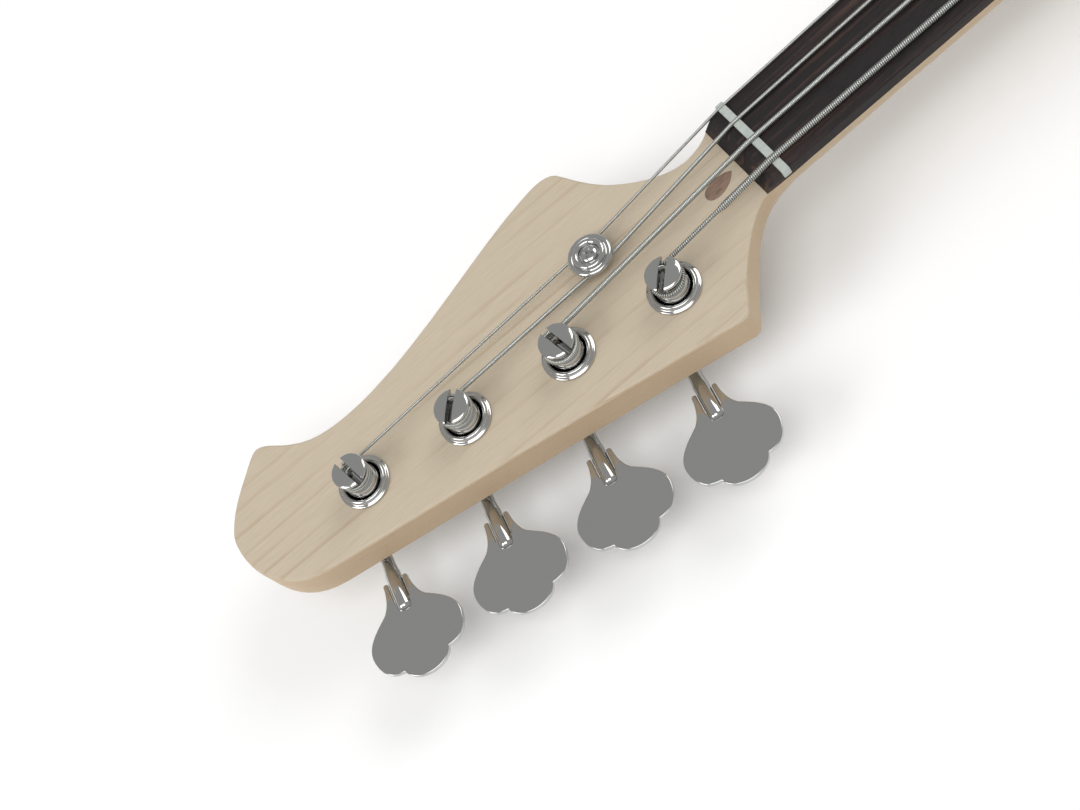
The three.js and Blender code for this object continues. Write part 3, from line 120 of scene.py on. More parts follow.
class BassTunerSizes(bpy.types.PropertyGroup):
    pitch: length("Post pitch", "Distance between neighbouring posts", 46.1)
    first_x: length("First post", "First post beyond the nut", 60.1)
    first_y: length("First post offset", "First post from the centre line", 23.5)
    line_turn: bpy.props.FloatProperty(name="Post line", description="Turn of the line of posts",
                                       default=math.radians(-11.2), subtype="ANGLE")
    flange: length("Flange", "Radius of the bushing's flange", 10.8)
    post_head: length("Post head", "Radius of the post's rim", 7.2)
    waist: length("Post waist", "Radius that the string winds on", 5.2)
    slot: length("Post slot", "Width of the post's slot", 2.8)
    key_half: length("Key half width", "Half of the key's width", 19.8)
    key_end: length("Key reach", "Key's outer edge from the post", 72.2)
    key_thick: length("Key thickness", "Thickness of the key's blade", 2.2)


class BassColours(bpy.types.PropertyGroup):
    maple: colour("Maple", "Neck and headstock", "#CABCA6")
    # Multiplied into the sides: the browner other face of the wood, and painted shade for sides that face away from the
    # light
    maple_side_grain_and_shade: colour("Maple side", "Tint of the neck's and headstock's sides", "#FBEDDC")
    maple_streak: colour("Maple streak", "Late wood of the maple", "#A98A66")
    board: colour("Rosewood", "Fingerboard", "#1C1617")
    board_streak: colour("Rosewood streak", "Red streaks of the fingerboard", "#4C372F")
    ash: colour("Ash", "Body", "#D0B183")
    ash_grain: colour("Ash grain", "Open grain of the body", "#9A7444")
    walnut: colour("Walnut", "Plug and stripe", "#947A69")
    bone: colour("Nut", "Nut", "#B9C0BA")
    chrome: colour("Chrome", "Tuners, bridge and plates", "#C3C3C1")
    steel: colour("Steel", "Screws, springs and pots", "#B4B3B0")
    wrap: colour("Wrap wire", "Wound strings", "#BFC1BC")
    brass: colour("Brass", "Worm wheels", "#B8954F")
    plastic: colour("Black plastic", "Pickguard and pickup", "#141414")


def sizes():
    scene = bpy.context.scene
    return scene.bass_neck, scene.bass_body, scene.bass_tuners


# Modelling tools


def select_only(*pieces):
    """Leaves edit mode and selects these objects alone, the last one active."""
    active = bpy.context.view_layer.objects.active
    if active and active.mode != "OBJECT":
        bpy.ops.object.mode_set(mode="OBJECT")
    bpy.ops.object.select_all(action="DESELECT")
    for piece in pieces:
        piece.select_set(True)
        bpy.context.view_layer.objects.active = piece


def name_piece(piece, name):
    piece.name = name
    piece.data.name = name
    return piece


def trace(name, points, closed):
    """One vertex extruded from point to point, and filled where the outline closes."""
    select_only()
    bpy.ops.mesh.primitive_plane_add(size=MM)
    piece = name_piece(bpy.context.object, name)
    bpy.ops.object.mode_set(mode="EDIT")
    bpy.ops.mesh.select_all(action="SELECT")
    bpy.ops.mesh.merge(type="CENTER")
    bpy.ops.transform.translate(value=points[0])
    for here, there in zip(points, points[1:]):
        bpy.ops.mesh.extrude_region_move(TRANSFORM_OT_translate={"value": there - here})
    if closed:
        shape = bmesh.from_edit_mesh(piece.data)
        shape.verts.ensure_lookup_table()
        for end in (points[0], points[-1]):
            min(shape.verts, key=lambda v: (v.co - end).length_squared).select_set(True)
        shape.select_flush(True)
        bmesh.update_edit_mesh(piece.data)
        bpy.ops.mesh.edge_face_add()
        bpy.ops.mesh.select_all(action="SELECT")
        bpy.ops.mesh.edge_face_add()
    return piece


def mend_normals(piece):
    """Merges doubles and turns all faces outwards."""
    select_only(piece)
    bpy.ops.object.mode_set(mode="EDIT")
    bpy.ops.mesh.select_all(action="SELECT")
    bpy.ops.mesh.remove_doubles(threshold=0.002 * MM)
    bpy.ops.mesh.normals_make_consistent(inside=False)
    bpy.ops.object.mode_set(mode="OBJECT")
    return piece


def finish_modifier(piece, kind, **settings):
    """Adds one modifier, sets it and applies it."""
    select_only(piece)
    modifier = piece.modifiers.new(kind.title(), kind)
    for key, value in settings.items():
        setattr(modifier, key, value)
    bpy.ops.object.modifier_apply(modifier=modifier.name)
    return piece


def round_edges(piece, width, segments=3, angle=40):
    return finish_modifier(piece, "BEVEL", width=width, segments=segments, limit_method="ANGLE",
                           angle_limit=math.radians(angle), use_clamp_overlap=False)


def slab(name, outline, low, high, edge=0, segments=3):
    """A filled outline extruded upwards, its rims rounded."""
    piece = trace(name, [Vector((p[0], p[1], low)) for p in outline], True)
    bpy.ops.mesh.select_all(action="SELECT")
    bpy.ops.mesh.extrude_region_move(TRANSFORM_OT_translate={"value": (0, 0, high - low)})
    mend_normals(piece)
    if edge:
        round_edges(piece, edge, segments)
    return piece


def spun(name, profile, steps=48):
    """A profile of radius and height spun about the vertical."""
    piece = trace(name, [Vector((r, 0, h)) for r, h in profile], False)
    bpy.ops.mesh.select_all(action="SELECT")
    bpy.ops.mesh.spin(steps=steps, angle=2 * math.pi, center=(0, 0, 0), axis=(0, 0, 1))
    return mend_normals(piece)


def turned(name, rows, steps=48):
    """A round piece from rows of radius and height in millimetres."""
    return spun(name, [(r * MM, h * MM) for r, h in rows], steps)


def lofted(name, rings):
    """A filled outline extruded from section to section, each one's points then put in place."""
    piece = trace(name, rings[0], True)
    bpy.ops.mesh.select_all(action="SELECT")
    for before, ring in zip(rings, rings[1:]):
        bpy.ops.mesh.extrude_region_move()
        shape = bmesh.from_edit_mesh(piece.data)
        for vertex in [v for v in shape.verts if v.select]:
            nearest = min(range(len(ring)), key=lambda k: (before[k] - vertex.co).length_squared)
            vertex.co = ring[nearest]
        bmesh.update_edit_mesh(piece.data)
    return mend_normals(piece)


def block(name, low, high):
    """A box between two corners, for cuts."""
    select_only()
    low, high = Vector(low), Vector(high)
    bpy.ops.mesh.primitive_cube_add(size=1, location=(low + high) / 2, scale=high - low)
    bpy.ops.object.transform_apply(location=True, rotation=True, scale=True)
    return name_piece(bpy.context.object, name)


def rod(name, radius, low, high, sides=32):
    """An upright cylinder between two points, for cuts and short pins."""
    select_only()
    low, high = Vector(low), Vector(high)
    along = high - low
    bpy.ops.mesh.primitive_cylinder_add(vertices=sides, radius=radius, depth=along.length)
    piece = name_piece(bpy.context.object, name)
    return put(piece, Matrix.Translation((low + high) / 2) @ along.to_track_quat("Z", "Y").to_matrix().to_4x4())


def put(piece, matrix):
    """Moves a piece and applies its place to its mesh."""
    select_only(piece)
    piece.matrix_world = matrix
    bpy.ops.object.transform_apply(location=True, rotation=True, scale=True)
    return piece


def copied(piece, name, matrix):
    """A copy with its own mesh, moved to its place."""
    select_only(piece)
    bpy.ops.object.duplicate(linked=False)
    return put(name_piece(bpy.context.object, name), matrix)


def joined(name, *pieces):
    """Pieces that touch or are fixed to each other, as one mesh."""
    select_only(*pieces)
    bpy.ops.object.join()
    return name_piece(bpy.context.object, name)


def combine(piece, kind, *tools):
    """Cuts, unites or intersects a piece with others, which are used up."""
    for tool in tools:
        finish_modifier(piece, "BOOLEAN", operation=kind, solver="EXACT", object=tool)
        used = tool.data
        bpy.data.objects.remove(tool)
        bpy.data.meshes.remove(used)
    return piece


def seat(piece, finish, *nodes, body="instrument", angle=35, material=None):
    """Shades a finished piece, gives it its material, hides the solids that it replaces, and fixes it to its body, if
    it has one.
    """
    select_only(piece)
    bpy.ops.object.shade_smooth_by_angle(angle=math.radians(angle))
    piece.data.materials.clear()
    piece.data.materials.append(material or finish_of(finish))
    if body:
        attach(piece, body)
    if nodes:
        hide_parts(*nodes)
    return piece


def curve_points(start, shares, steps):
    """Points along joined cubic curves, each given by its two handles and its end."""
    points = [Vector(start)]
    for share in shares:
        here, first, second, end = points[-1], Vector(share[0:2]), Vector(share[2:4]), Vector(share[4:6])
        for k in range(1, steps + 1):
            t = k / steps
            points.append(here * (1 - t) ** 3 + first * 3 * t * (1 - t) ** 2
                          + second * 3 * t * t * (1 - t) + end * t ** 3)
    if (points[0] - points[-1]).length < 1e-6:
        points.pop()
    return points


def eased(t):
    """A share from 0 to 1 that starts and ends level."""
    return t * t * (3 - 2 * t)


def arc(centre, radius, first, last, steps):
    """Points on an arc, angles in radians."""
    return [Vector((centre[0] + radius * math.cos(first + (last - first) * k / steps),
                    centre[1] + radius * math.sin(first + (last - first) * k / steps)))
            for k in range(steps + 1)]


def rounded_rect(width, height, radius, steps=8, x=0):
    """Outline of a rectangle with rounded corners, its middle at x."""
    w, h = width / 2 - radius, height / 2 - radius
    quarter = math.pi / 2
    corners = ((w, h), (-w, h), (-w, -h), (w, -h))
    return [p + Vector((x, 0)) for k, c in enumerate(corners)
            for p in arc(c, radius, k * quarter, (k + 1) * quarter, steps)]


def tube(name, points, radii, sides=12):
    """Round cord as a mesh tube with closed ends; its UV map runs along it in metres."""
    vertices, faces, along = [], [], [0.0]
    for here, there in zip(points, points[1:]):
        along.append(along[-1] + (there - here).length)
    side = Vector((0, 0, 1))
    last = len(points) - 1
    for k, point in enumerate(points):
        forward = (points[min(k + 1, last)] - points[max(k - 1, 0)]).normalized()
        side = (side - forward * side.dot(forward)).normalized()
        across = forward.cross(side)
        for s in range(sides):
            turn = 2 * math.pi * s / sides
            vertices.append(point + (side * math.cos(turn) + across * math.sin(turn)) * radii[k])
    for k in range(last):
        for s in range(sides):
            n = (s + 1) % sides
            faces.append((k * sides + s, k * sides + n, (k + 1) * sides + n, (k + 1) * sides + s))
    faces.append(tuple(range(sides))[::-1])
    faces.append(tuple(range(last * sides, last * sides + sides)))
    mesh = bpy.data.meshes.new(name)
    mesh.from_pydata(vertices, [], faces)
    piece = bpy.data.objects.new(name, mesh)
    bpy.context.scene.collection.objects.link(piece)
    layer = mesh.uv_layers.new(name="along")
    for face in mesh.polygons:
        closes = face.index % sides == sides - 1 and face.index < last * sides
        for corner in face.loop_indices:
            vertex = mesh.loops[corner].vertex_index
            spoke = vertex % sides
            share = 1.0 if closes and spoke == 0 else spoke / sides
            layer.data[corner].uv = (along[vertex // sides], share)
    return mend_normals(piece)


# Materials


def add_node(tree, kind, settings=None, links=None):
    """Adds a shader node, sets its options, inputs and colour stops, and links its inputs."""
    node = tree.nodes.new(kind)
    for key, value in (settings or {}).items():
        if key == "stops":
            stops = node.color_ramp.elements
            while len(stops) < len(value):
                stops.new(0.5)
            for stop, (position, tint) in zip(stops, value):
                stop.position = position
                stop.color = tint
        elif isinstance(key, int) or key in node.inputs:
            node.inputs[key].default_value = value
        else:
            setattr(node, key, value)
    for key, source in (links or {}).items():
        tree.links.new(source, node.inputs[key])
    return node


def new_material(name):
    material = bpy.data.materials.new(name)
    material.use_nodes = True
    material.node_tree.nodes.clear()
    return material, material.node_tree


def grey(level):
    return (level, level, level, 1.0)


def darker(tint, share):
    return tuple(c * share for c in tint[:3]) + (1.0,)


def object_place(tree):
    return add_node(tree, "ShaderNodeTexCoord").outputs["Object"]


def drawn_out(tree, place, scale, turn=0.0):
    """A place on the piece, scaled for each axis and turned about Z."""
    return add_node(tree, "ShaderNodeMapping", {"Scale": scale, "Rotation": (0, 0, turn)},
                    {"Vector": place}).outputs["Vector"]


def noise(tree, place, detail, roughness=0.5, scale=1.0):
    return add_node(tree, "ShaderNodeTexNoise", {"Scale": scale, "Detail": detail, "Roughness": roughness},
                    {"Vector": place}).outputs["Fac"]


def growth_bands(tree, place, distortion, detail_scale):
    """Growth rings cut along: a saw wave that noise bends. Its pitch is 0.63 of a unit."""
    return add_node(tree, "ShaderNodeTexWave",
                    {"wave_type": "BANDS", "bands_direction": "DIAGONAL", "wave_profile": "SAW", "Scale": 1.0,
                     "Distortion": distortion, "Detail": 2.0, "Detail Scale": detail_scale},
                    {"Vector": place}).outputs["Fac"]


def ramp(tree, source, *stops):
    """Colours at shares of a value; a bare number stands for a grey."""
    stops = [(share, grey(tint) if isinstance(tint, float) else tint) for share, tint in stops]
    return add_node(tree, "ShaderNodeValToRGB", {"stops": stops}, {"Fac": source}).outputs["Color"]


def spread(tree, source, low, high):
    """The middle of a noise spread over a range."""
    return add_node(tree, "ShaderNodeMapRange", {"From Min": 0.35, "From Max": 0.7, "To Min": low, "To Max": high},
                    {"Value": source}).outputs["Result"]


def maths(tree, operation, settings, links):
    return add_node(tree, "ShaderNodeMath", {"operation": operation, **settings}, links).outputs["Value"]


def mixed(tree, settings, links):
    return add_node(tree, "ShaderNodeMix", {"data_type": "RGBA", **settings}, links).outputs[2]


def surfaced(material, height, strength, distance, settings, links, invert=False):
    """Gives a material its relief, its shader and its output."""
    tree = material.node_tree
    relief = add_node(tree, "ShaderNodeBump", {"Strength": strength, "Distance": distance, "invert": invert},
                      {"Height": height})
    shader = add_node(tree, "ShaderNodeBsdfPrincipled", settings, {**links, "Normal": relief.outputs["Normal"]})
    add_node(tree, "ShaderNodeOutputMaterial", None, {"Surface": shader.outputs["BSDF"]})
    return material


def oiled_maple(colours):
    """Hard maple, planed and oiled: pale, with soft brown late wood along the neck, hardly any pores."""
    material, tree = new_material("oiled_maple")
    place = object_place(tree)
    # Grain runs along X: patches 70 mm long and 14 mm wide break the growth lines up
    patch = ramp(tree, noise(tree, drawn_out(tree, place, (14, 70, 70)), 3.0), (0.42, 0.1), (0.68, 1.0))
    # Growth lines of 7 mm pitch on the face, 2 mm on the sides
    growth = growth_bands(tree, drawn_out(tree, place, (2.5, 90, 310), 0.05), 5.5, 0.6)
    late_wood = ramp(tree, growth, (0.0, 0.0), (0.7, 0.05), (0.92, 0.45), (1.0, 0.0))
    streak = maths(tree, "MULTIPLY", {}, {0: late_wood, 1: patch})
    base = mixed(tree, {6: colours.maple, 7: colours.maple_streak}, {0: streak})
    # Fine fibre, drawn 0.35 mm wide so that it shows
    fibre = noise(tree, drawn_out(tree, place, (90, 2800, 2800)), 2.0)
    tinted = mixed(tree, {"blend_type": "MULTIPLY", 0: 1.0}, {6: base, 7: ramp(tree, fibre, (0.3, 0.9), (0.65, 1.0))})
    # The sides show the wood's other face, which is browner, and carry painted shade, since they face away from the
    # light
    side = add_node(tree, "ShaderNodeAttribute", {"attribute_name": "side"}).outputs["Fac"]
    # Painted shade: the more a face looks sideways, the darker the maple's colour
    oiled = mixed(tree, {"blend_type": "MULTIPLY", 7: colours.maple_side_grain_and_shade}, {0: side, 6: tinted})
    return surfaced(material, fibre, 0.12, 0.1 * MM, {"Roughness": 0.48, "IOR": 1.46}, {"Base Color": oiled})


def bare_rosewood(colours):
    """Rosewood, scraped bare: near black with red streaks and long open pores."""
    material, tree = new_material("bare_rosewood")
    place = object_place(tree)
    # Streaks 150 mm long and 4 mm wide
    streak = noise(tree, drawn_out(tree, place, (7, 250, 250)), 4.0, 0.6)
    tone = ramp(tree, streak, (0.38, colours.board), (0.5, colours.board), (0.68, colours.board_streak))
    # Pores 4 mm long and 0.25 mm wide
    pore = ramp(tree, noise(tree, drawn_out(tree, place, (250, 4000, 4000)), 1.0), (0.33, 0.35), (0.45, 1.0))
    dark = mixed(tree, {"blend_type": "MULTIPLY", 0: 1.0}, {6: tone, 7: pore})
    return surfaced(material, pore, 0.5, 0.2 * MM, {"Roughness": 0.58, "IOR": 1.42}, {"Base Color": dark})


def lacquered_ash(colours):
    """Swamp ash under satin lacquer: honey ground, open ring-porous grain in long cathedral lines."""
    material, tree = new_material("lacquered_ash")
    place = object_place(tree)
    # Rings of 14 mm pitch across the body, drawn out along X
    growth = growth_bands(tree, drawn_out(tree, place, (1.8, 45, 120), 0.05), 6.0, 0.5)
    band = ramp(tree, growth, (0.0, 0.05), (0.55, 0.15), (0.9, 0.85), (1.0, 0.2))
    # Pores 6 mm long and 0.5 mm wide, thick only in the rings
    pore = ramp(tree, noise(tree, drawn_out(tree, place, (160, 2000, 2000)), 2.0), (0.45, 1.0), (0.6, 0.0))
    grain = maths(tree, "MULTIPLY", {}, {0: band, 1: pore})
    shade = maths(tree, "MULTIPLY_ADD", {1: 0.25}, {0: band, 2: grain})
    base = mixed(tree, {6: colours.ash, 7: colours.ash_grain}, {0: shade})
    return surfaced(material, grain, 0.25, 0.3 * MM,
                    {"Roughness": 0.42, "IOR": 1.48, "Coat Weight": 0.35, "Coat Roughness": 0.25},
                    {"Base Color": base}, invert=True)


def oiled_walnut(colours):
    """Walnut, planed flush and oiled: brown with short dark pores."""
    material, tree = new_material("oiled_walnut")
    # Pores 5 mm long and 0.4 mm wide
    pore = noise(tree, drawn_out(tree, object_place(tree), (200, 2500, 2500)), 3.0)
    tone = ramp(tree, pore, (0.35, darker(colours.walnut, 0.6)), (0.55, colours.walnut))
    return surfaced(material, pore, 0.2, 0.1 * MM, {"Roughness": 0.55, "IOR": 1.46}, {"Base Color": tone})


def polished_bone(colours):
    """Bleached bone, filed and polished: off-white, slightly mottled, a soft gloss."""
    material, tree = new_material("polished_bone")
    # Mottling in 2 mm patches
    mottle = noise(tree, object_place(tree), 3.0, scale=500.0)
    tone = ramp(tree, mottle, (0.3, darker(colours.bone, 0.86)), (0.6, colours.bone))
    return surfaced(material, mottle, 0.06, 0.1 * MM,
                    {"Roughness": 0.32, "IOR": 1.54, "Subsurface Weight": 0.06,
                     "Subsurface Radius": (0.001, 0.0008, 0.0006)}, {"Base Color": tone})


def metal(name, tint, gloss, haze, ripple, ripple_scale):
    """A metal whose gloss varies in handling marks and whose face ripples slightly."""
    material, tree = new_material(name)
    place = object_place(tree)
    marks = spread(tree, noise(tree, place, 4.0, 0.65, 260.0), gloss, gloss + haze)
    wave = noise(tree, place, 1.0, scale=ripple_scale)
    return surfaced(material, wave, ripple, MM, {"Metallic": 1.0, "Base Color": tint}, {"Roughness": marks})


def plated_chrome(colours):
    """Chrome plate, polished: mirror gloss with faint handling haze over stamped and cast parts."""
    return metal("plated_chrome", colours.chrome, 0.07, 0.06, 0.06, 60.0)


def machined_steel(colours):
    """Bare steel, turned: grey, half gloss."""
    return metal("machined_steel", colours.steel, 0.25, 0.12, 0.04, 900.0)


def cut_brass(colours):
    """Brass, hobbed and left bare: warm yellow with a light haze."""
    return metal("cut_brass", colours.brass, 0.22, 0.15, 0.03, 700.0)


def wound_steel(name, pitch, shade):
    """Nickel-plated steel wire wound on a core: grey, with ridges across the string and painted shade in the grooves
    between them.
    """
    wrap = bpy.context.scene.bass_colours.wrap
    material, tree = new_material(name)
    along = add_node(tree, "ShaderNodeUVMap", {"uv_map": "along"}).outputs["UV"]
    parts = add_node(tree, "ShaderNodeSeparateXYZ", None, {"Vector": along})
    # Each ridge is one turn of the wrap, so it climbs one pitch in a turn
    turns = maths(tree, "MULTIPLY_ADD", {1: 1 / pitch}, {0: parts.outputs["X"], 2: parts.outputs["Y"]})
    ridge = maths(tree, "SINE", {}, {0: maths(tree, "MULTIPLY", {1: 2 * math.pi}, {0: turns})})
    height = add_node(tree, "ShaderNodeMapRange", {"From Min": -1.0}, {"Value": ridge}).outputs["Result"]
    # Painted shade: the grooves between the turns are darkened to the given share of the wire's colour
    groove = ramp(tree, height, (0.0, darker(wrap, shade)), (0.45, wrap))
    return surfaced(material, height, 1.1 - shade, pitch * 0.3, {"Metallic": 1.0, "Roughness": 0.4},
                    {"Base Color": groove})


def moulded_plastic(colours):
    """ABS plastic, moulded black: even gloss broken by fine handling marks."""
    material, tree = new_material("moulded_plastic")
    # Wipe marks 20 mm long and 1 mm wide
    marks = noise(tree, drawn_out(tree, object_place(tree), (50, 900, 900), 0.6), 5.0, 0.7)
    return surfaced(material, marks, 0.02, 0.2 * MM, {"Base Color": colours.plastic, "IOR": 1.53},
                    {"Roughness": spread(tree, marks, 0.27, 0.33)})


def seamless_paper(colours):
    """Matt white paper under the instrument."""
    material, tree = new_material("seamless_paper")
    tooth = noise(tree, object_place(tree), 2.0, scale=400.0)
    return surfaced(material, tooth, 0.02, 0.2 * MM,
                    {"Base Color": grey(1.0), "Roughness": 1.0, "Specular IOR Level": 0.0}, {})


# Each finish with its material and its slot in the record
FINISHES = {
    "maple": (oiled_maple, "neck_maple"),
    "rosewood": (bare_rosewood, "board_rosewood"),
    "ash": (lacquered_ash, "body_ash"),
    "walnut": (oiled_walnut, "plug_walnut"),
    "bone": (polished_bone, "nut_bone"),
    "chrome": (plated_chrome, "chrome"),
    "steel": (machined_steel, "steel"),
    "brass": (cut_brass, "gear_brass"),
    "plastic": (moulded_plastic, "black_plastic"),
    "paper": (seamless_paper, None),
}
made = {}


def finish_of(name):
    """Each material is made once, on first use."""
    if name not in made:
        made[name] = FINISHES[name][0](bpy.context.scene.bass_colours)
    return made[name]


# Shapes that several pieces share


def half_neck(x):
    neck = bpy.context.scene.bass_neck
    return neck.nut_width / 2 + TAPER * (neck.nut_x - x)


def board_top(y):
    neck = bpy.context.scene.bass_neck
    return neck.glue_z + neck.board_thick - y * y / (2 * neck.board_radius)


def tree_place():
    """Foot of the string retainer, on the headstock's face."""
    neck = bpy.context.scene.bass_neck
    return Vector((neck.nut_x + 75.1 * MM, -8.3 * MM, neck.glue_z))


def string_y(i):
    """A string's distance from the centre line at the bridge."""
    return (1.5 - i) * 19 * MM


def ball_z():
    """Height at which the strings pass through the bridge's upturned edge."""
    return bpy.context.scene.bass_body.thick + 11.26 * MM


def tuner_frame(i):
    """Place of a tuning machine: its post's axis, at the headstock's back, turned with the post line."""
    neck, _, tuners = sizes()
    along = Vector((math.cos(tuners.line_turn), math.sin(tuners.line_turn), 0))
    place = Vector((neck.nut_x + tuners.first_x, tuners.first_y, neck.glue_z - neck.head_thick))
    return Matrix.Translation(place + along * tuners.pitch * i) @ Matrix.Rotation(tuners.line_turn, 4, "Z")


def cross_screw(name, radius, height):
    """A domed screw head with a cross recess, its seat at zero height."""
    head = spun(name, [(0, 0), (radius, 0), (radius, height * 0.3), (radius * 0.93, height * 0.55),
                       (radius * 0.75, height * 0.8), (radius * 0.45, height * 0.95), (0, height)], 32)
    wide, thin, floor = radius * 0.58, radius * 0.12, height * 0.25
    bars = []
    for k in range(2):
        bar = block("bar", (-wide, -thin, floor), (wide, thin, height * 2))
        bars.append(put(bar, Matrix.Rotation(k * math.pi / 2 + math.pi / 4, 4, "Z")))
    return combine(head, "DIFFERENCE", *bars)


def screws(radius, height, places, turn=Matrix.Identity(4)):
    """Screw heads at these places, all from one model."""
    model = cross_screw("screw_model", radius, height)
    heads = [copied(model, "screw", Matrix.Translation(place) @ turn) for place in places]
    bpy.data.objects.remove(model)
    return heads


def body_point(share):
    _, body, _ = sizes()
    return Vector((-body.tail + share[0] * body.reach, share[1] * body.width / 2))


def body_outline(start, shares, steps):
    return [body_point(p) for p in curve_points(start, shares, steps)]


# Stage


class BASS_OT_stage(bpy.types.Operator):
    """Make the camera, the soft lamps and the pale floor"""
    bl_idname = "bass.stage"
    bl_label = "Stage"

    def execute(self, context):
        scene = context.scene
        scene.view_settings.view_transform = "Standard"
        lens = bpy.data.cameras.new("photo_camera")
        lens.lens = 62.35
        lens.sensor_width = 36
        lens.clip_start = 0.02
        camera = bpy.data.objects.new("photo_camera", lens)
        # Worked out from the posts, the nut and the headstock's outline in the photograph
        right = (-0.7475425, 0.5363506, -0.3918012)
        up = (-0.6613645, -0.6556286, 0.3643463)
        back = (-0.0614587, 0.5314878, 0.8448335)
        turn = Matrix((right, up, back)).transposed().to_4x4()
        camera.matrix_world = Matrix.Translation((0.94669, 0.38999, 0.62963)) @ turn
        scene.collection.objects.link(camera)
        scene.camera = camera
        # An even grey room, so that metal reads mid grey
        world = bpy.data.worlds.new("grey_room")
        scene.world = world
        world.use_nodes = True
        world.node_tree.nodes.clear()
        room = add_node(world.node_tree, "ShaderNodeBackground", {"Color": grey(1.0), "Strength": 0.42})
        add_node(world.node_tree, "ShaderNodeOutputWorld", None, {"Surface": room.outputs["Background"]})
        # Soft boxes: direction from the head, distance, size, power
        aim = Vector((0.9, 0, 0.045))
        for name, towards, reach, size, power in (
                ("soft_box_bass", (0.25, 0.4, 1.0), 3.0, 2.0, 32),
                ("soft_box_tip", (1.0, 0.1, 0.75), 3.0, 1.3, 26),
                ("soft_box_body", (-0.9, -0.35, 0.8), 3.2, 1.8, 29)):
            lamp = bpy.data.lights.new(name, "AREA")
            lamp.shape = "SQUARE"
            lamp.size = size
            lamp.energy = power
            box = bpy.data.objects.new(name, lamp)
            place = aim + Vector(towards).normalized() * reach
            box.matrix_world = Matrix.Translation(place) @ (place - aim).to_track_quat("Z", "Y").to_matrix().to_4x4()
            scene.collection.objects.link(box)
        select_only()
        bpy.ops.mesh.primitive_grid_add(x_subdivisions=2, y_subdivisions=2, size=14, location=(0.5, 0, -0.0002))
        floor = name_piece(context.object, "floor")
        bpy.ops.object.transform_apply(location=True, rotation=True, scale=True)
        floor.data.materials.append(finish_of("paper"))
        return {"FINISHED"}


# Strings


